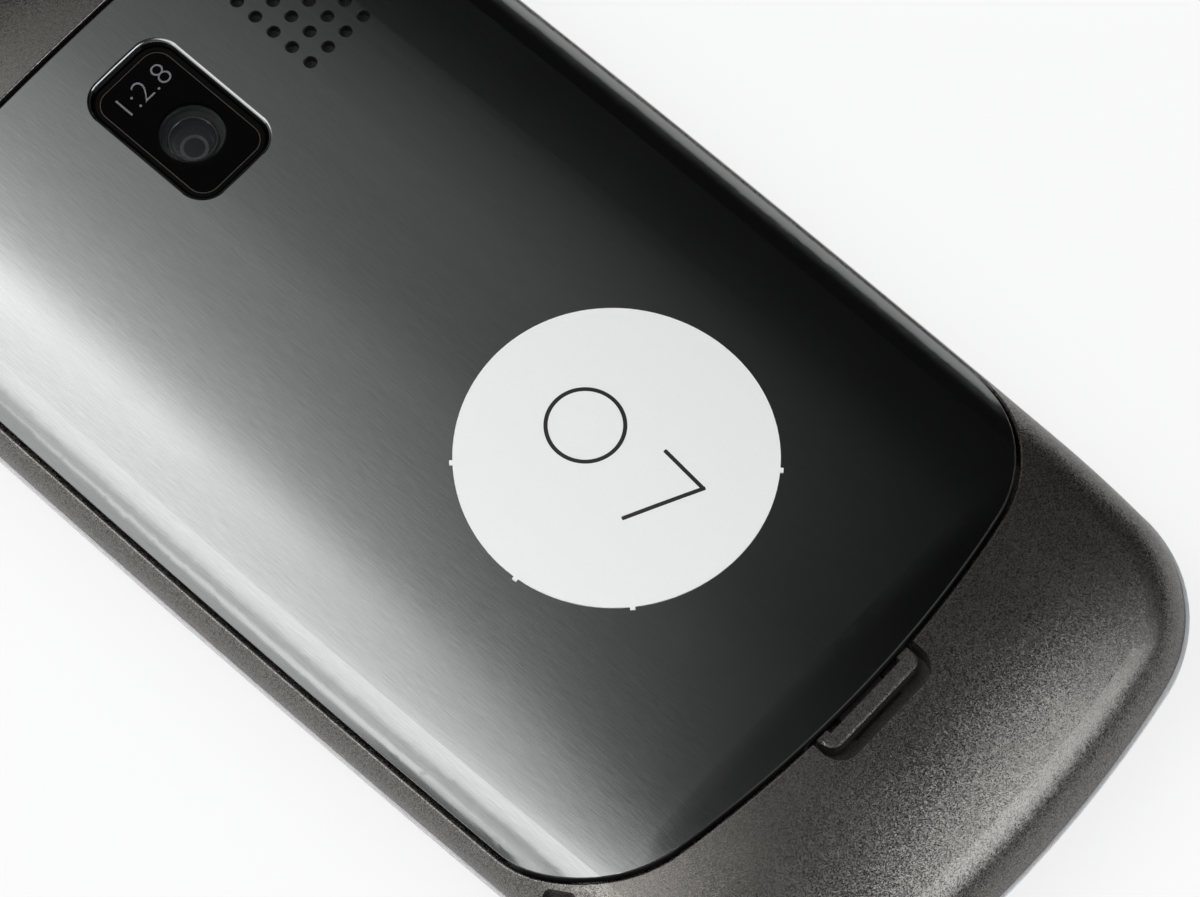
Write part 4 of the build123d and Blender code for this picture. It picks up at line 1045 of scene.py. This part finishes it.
@dataclass
class Studio:
    """A pale table, a graded overhead screen, three square panels, a dim room and the camera.

    Each row of the screen's levels is a place across the room, in metres, and the level of light
    there, where 1 is white. The steady rows light every part of the phone alike, and the fading ones
    die away towards the phone's foot.
    """

    floor_half: float = 1.6
    floor_drop: float = 0.05 * MM
    floor_color: Color = (0.90, 0.90, 0.90)
    floor_grain: float = 900.0
    floor_glow: float = 0.80
    screen_height: float = 0.50
    screen_x: Pair = (-2.0, 0.6)
    screen_y: Pair = (-0.10, 0.42)
    steady: tuple[Pair, ...] = (
        (-2.0, 1.2), (-1.3, 1.3), (-0.55, 1.3), (-0.37, 2.6), (-0.16, 3.2), (-0.093, 2.9), (-0.078, 0.9),
        (-0.065, 0.2), (-0.04, 0.0))
    fading: tuple[Pair, ...] = (
        (-0.12, 0.3), (-0.083, 0.8), (-0.07, 2.5), (-0.06, 4.0), (-0.042, 2.8), (-0.02, 1.3), (0.012, 1.08),
        (0.044, 0.76), (0.107, 0.54), (0.152, 0.33), (0.247, 0.25), (0.30, 0.17), (0.34, 0.12), (0.387, 0.04),
        (0.42, 0.01), (0.60, 0.0))
    fade_y: Pair = (0.055, 0.235)
    fade_top: float = 1.3
    dim_x: float = -0.45
    dim_y: Pair = (0.11, 0.18)
    dim_share: float = 0.45
    panels: tuple[Panel, ...] = (
        Panel("front_panel", (0.215, -0.49, 0.43), 0.42, 3.7, (0.95, 0.97, 1.0)),
        Panel("lower_panel", (0.16, 0.22, -0.50), 0.60, 1.5),
        Panel("side_panel", (-0.85, 0.45, 0.28), 0.45, 1.2))
    room_level: float = 0.015
    horizon_level: float = 0.10
    horizon_height: Pair = (0.0, 0.35)
    left_level: float = 0.30
    left_x: Pair = (-0.9, 0.5)
    camera_place: Place = (-0.129911, -0.137377, 0.430963)
    camera_right: Place = (0.67566, -0.73714, -0.01019)
    camera_up: Place = (0.67830, 0.61619, 0.40027)
    camera_lens: float = 179.16
    camera_sensor: float = 36.0
    camera_clip: Pair = (0.01, 20.0)

    def floor(self) -> None:
        """Lays the table, which is clear from below and to the light of the lower panel."""
        mesh = shaped("table", lambda form: bmesh.ops.create_grid(form, x_segments=4, y_segments=4,
                                                                  size=self.floor_half))
        mesh.transform(Matrix.Translation((0, 0, -self.floor_drop)))
        table = new_object("table", mesh)
        material = bpy.data.materials.new("pale table")
        tree = Tree(material)
        place = tree.add("TexCoord").outputs["Object"]
        paper = tree.add("TexNoise", {"Vector": place, "Scale": self.floor_grain, "Detail": 3.0}).outputs[0]
        matt = tree.add("BsdfDiffuse", {"Color": tree.tint(paper, self.floor_color, 0.01)})
        glow = tree.add("Emission", {"Color": (1, 1, 1, 1), "Strength": 1.0})
        rays = tree.add("LightPath").outputs
        seen = tree.math("MAXIMUM", rays["Is Camera Ray"], rays["Is Transmission Ray"])
        lifted = tree.product(seen, self.floor_glow)
        lit = tree.add("MixShader", {0: lifted, 1: matt.outputs[0], 2: glow.outputs[0]})
        clear = tree.add("BsdfTransparent")
        below = tree.add("NewGeometry").outputs["Backfacing"]
        passed = tree.math("MAXIMUM", below, rays["Is Shadow Ray"])
        shader = tree.add("MixShader", {0: passed, 1: lit.outputs[0], 2: clear.outputs[0]})
        tree.add("OutputMaterial", {"Surface": shader.outputs[0]})
        mesh.materials.append(material)

    def ramp(self, tree: Tree, across: Socket, rows: Sequence[Pair]) -> Value:
        """Draws a level of light across the screen.

        Args:
            tree: The lamp's tree.
            across: The place across the screen, from 0 to 1.
            rows: The places across the room and the levels there.

        Returns:
            The level.
        """
        top = max(level for _, level in rows)
        ramp = tree.add("ValToRGB", {"Fac": across})
        stops = ramp.color_ramp.elements
        while len(stops) < len(rows):
            stops.new(0.5)
        low, high = self.screen_x
        for stop, (place, level) in zip(stops, rows):
            stop.position = (place - low) / (high - low)
            stop.color = (*[level / top] * 3, 1.0)
        return tree.product(ramp.outputs[0], top)

    def screen(self) -> None:
        """Hangs the graded screen over the table, bright to the left and dark to the right."""
        lamp = bpy.data.lights.new("overhead_screen", "AREA")
        lamp.shape = "RECTANGLE"
        lamp.size, lamp.size_y = (high - low for low, high in (self.screen_x, self.screen_y))
        lamp.energy = math.pi * lamp.size * lamp.size_y
        tree = Tree(lamp)
        across, along, _ = tree.add("SeparateXYZ", {0: tree.add("TexCoord").outputs["UV"]}).outputs
        foot, _ = self.screen_y
        fade, dim = ([(y - foot) / lamp.size_y for y in span] for span in (self.fade_y, self.dim_y))
        faded = tree.remap(along, fade, (0.0, self.fade_top))
        fading = tree.product(self.ramp(tree, across, self.fading), faded)
        left = tree.math("LESS_THAN", across, (self.dim_x - self.screen_x[0]) / lamp.size)
        kept = tree.math("SUBTRACT", 1.0, tree.product(tree.remap(along, dim, (self.dim_share, 0.0)), left))
        steady = tree.product(self.ramp(tree, across, self.steady), kept)
        shader = tree.add("Emission", {"Strength": tree.math("ADD", fading, steady)})
        tree.add("OutputLight", {"Surface": shader.outputs[0]})
        hung = new_object("overhead_screen", lamp)
        hung.location = (sum(self.screen_x) / 2, sum(self.screen_y) / 2, self.screen_height)
        hung.visible_camera = False

    def world(self) -> None:
        """Fills the room with a little light, white where the eye looks past the table."""
        world = bpy.data.worlds.new("room")
        bpy.context.scene.world = world
        tree = Tree(world)
        x, _, z = tree.add("SeparateXYZ", {0: tree.add("TexCoord").outputs["Generated"]}).outputs
        horizon = tree.remap(z, self.horizon_height, (1.0, 0.0))
        left = tree.remap(x, self.left_x, (1.0, 0.0))
        level = tree.math("MULTIPLY_ADD", horizon, self.horizon_level, self.room_level)
        level = tree.math("MULTIPLY_ADD", left, self.left_level, level)
        eye = tree.add("LightPath").outputs["Is Camera Ray"]
        level = tree.add("Mix", {0: eye, 2: level, 3: 1.0}).outputs[0]
        shader = tree.add("Background", {"Color": (1, 1, 1, 1), "Strength": level})
        tree.add("OutputWorld", {"Surface": shader.outputs[0]})

    def camera(self) -> None:
        """Sets up the camera."""
        data = bpy.data.cameras.new("camera")
        data.lens, data.sensor_width = self.camera_lens, self.camera_sensor
        data.clip_start, data.clip_end = self.camera_clip
        camera = new_object("camera", data)
        right = Vector(self.camera_right).normalized()
        back = right.cross(Vector(self.camera_up)).normalized()
        turn = Matrix((right, back.cross(right), back)).transposed().to_4x4()
        camera.matrix_world = Matrix.Translation(self.camera_place) @ turn
        bpy.context.scene.camera = camera

    def build(self) -> None:
        """Builds the whole set."""
        bpy.context.scene.view_settings.view_transform = "Standard"
        self.floor()
        self.screen()
        for panel in self.panels:
            panel.hang()
        self.world()
        self.camera()


def main() -> None:
    """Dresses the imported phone, adds its marks and soft parts, and sets up the studio."""
    logging.basicConfig(level=logging.INFO, format="%(name)s: %(message)s")
    for part in (PackedPieces(), CameraUnit(), CameraKey(), RoundLabel(), BatteryMarks(), Keypad(),
                 FrontKeys(), SoftLinks(), Studio()):
        part.build()
        LOG.info("built %s", type(part).__name__)


if __name__ == "__main__":
    main()
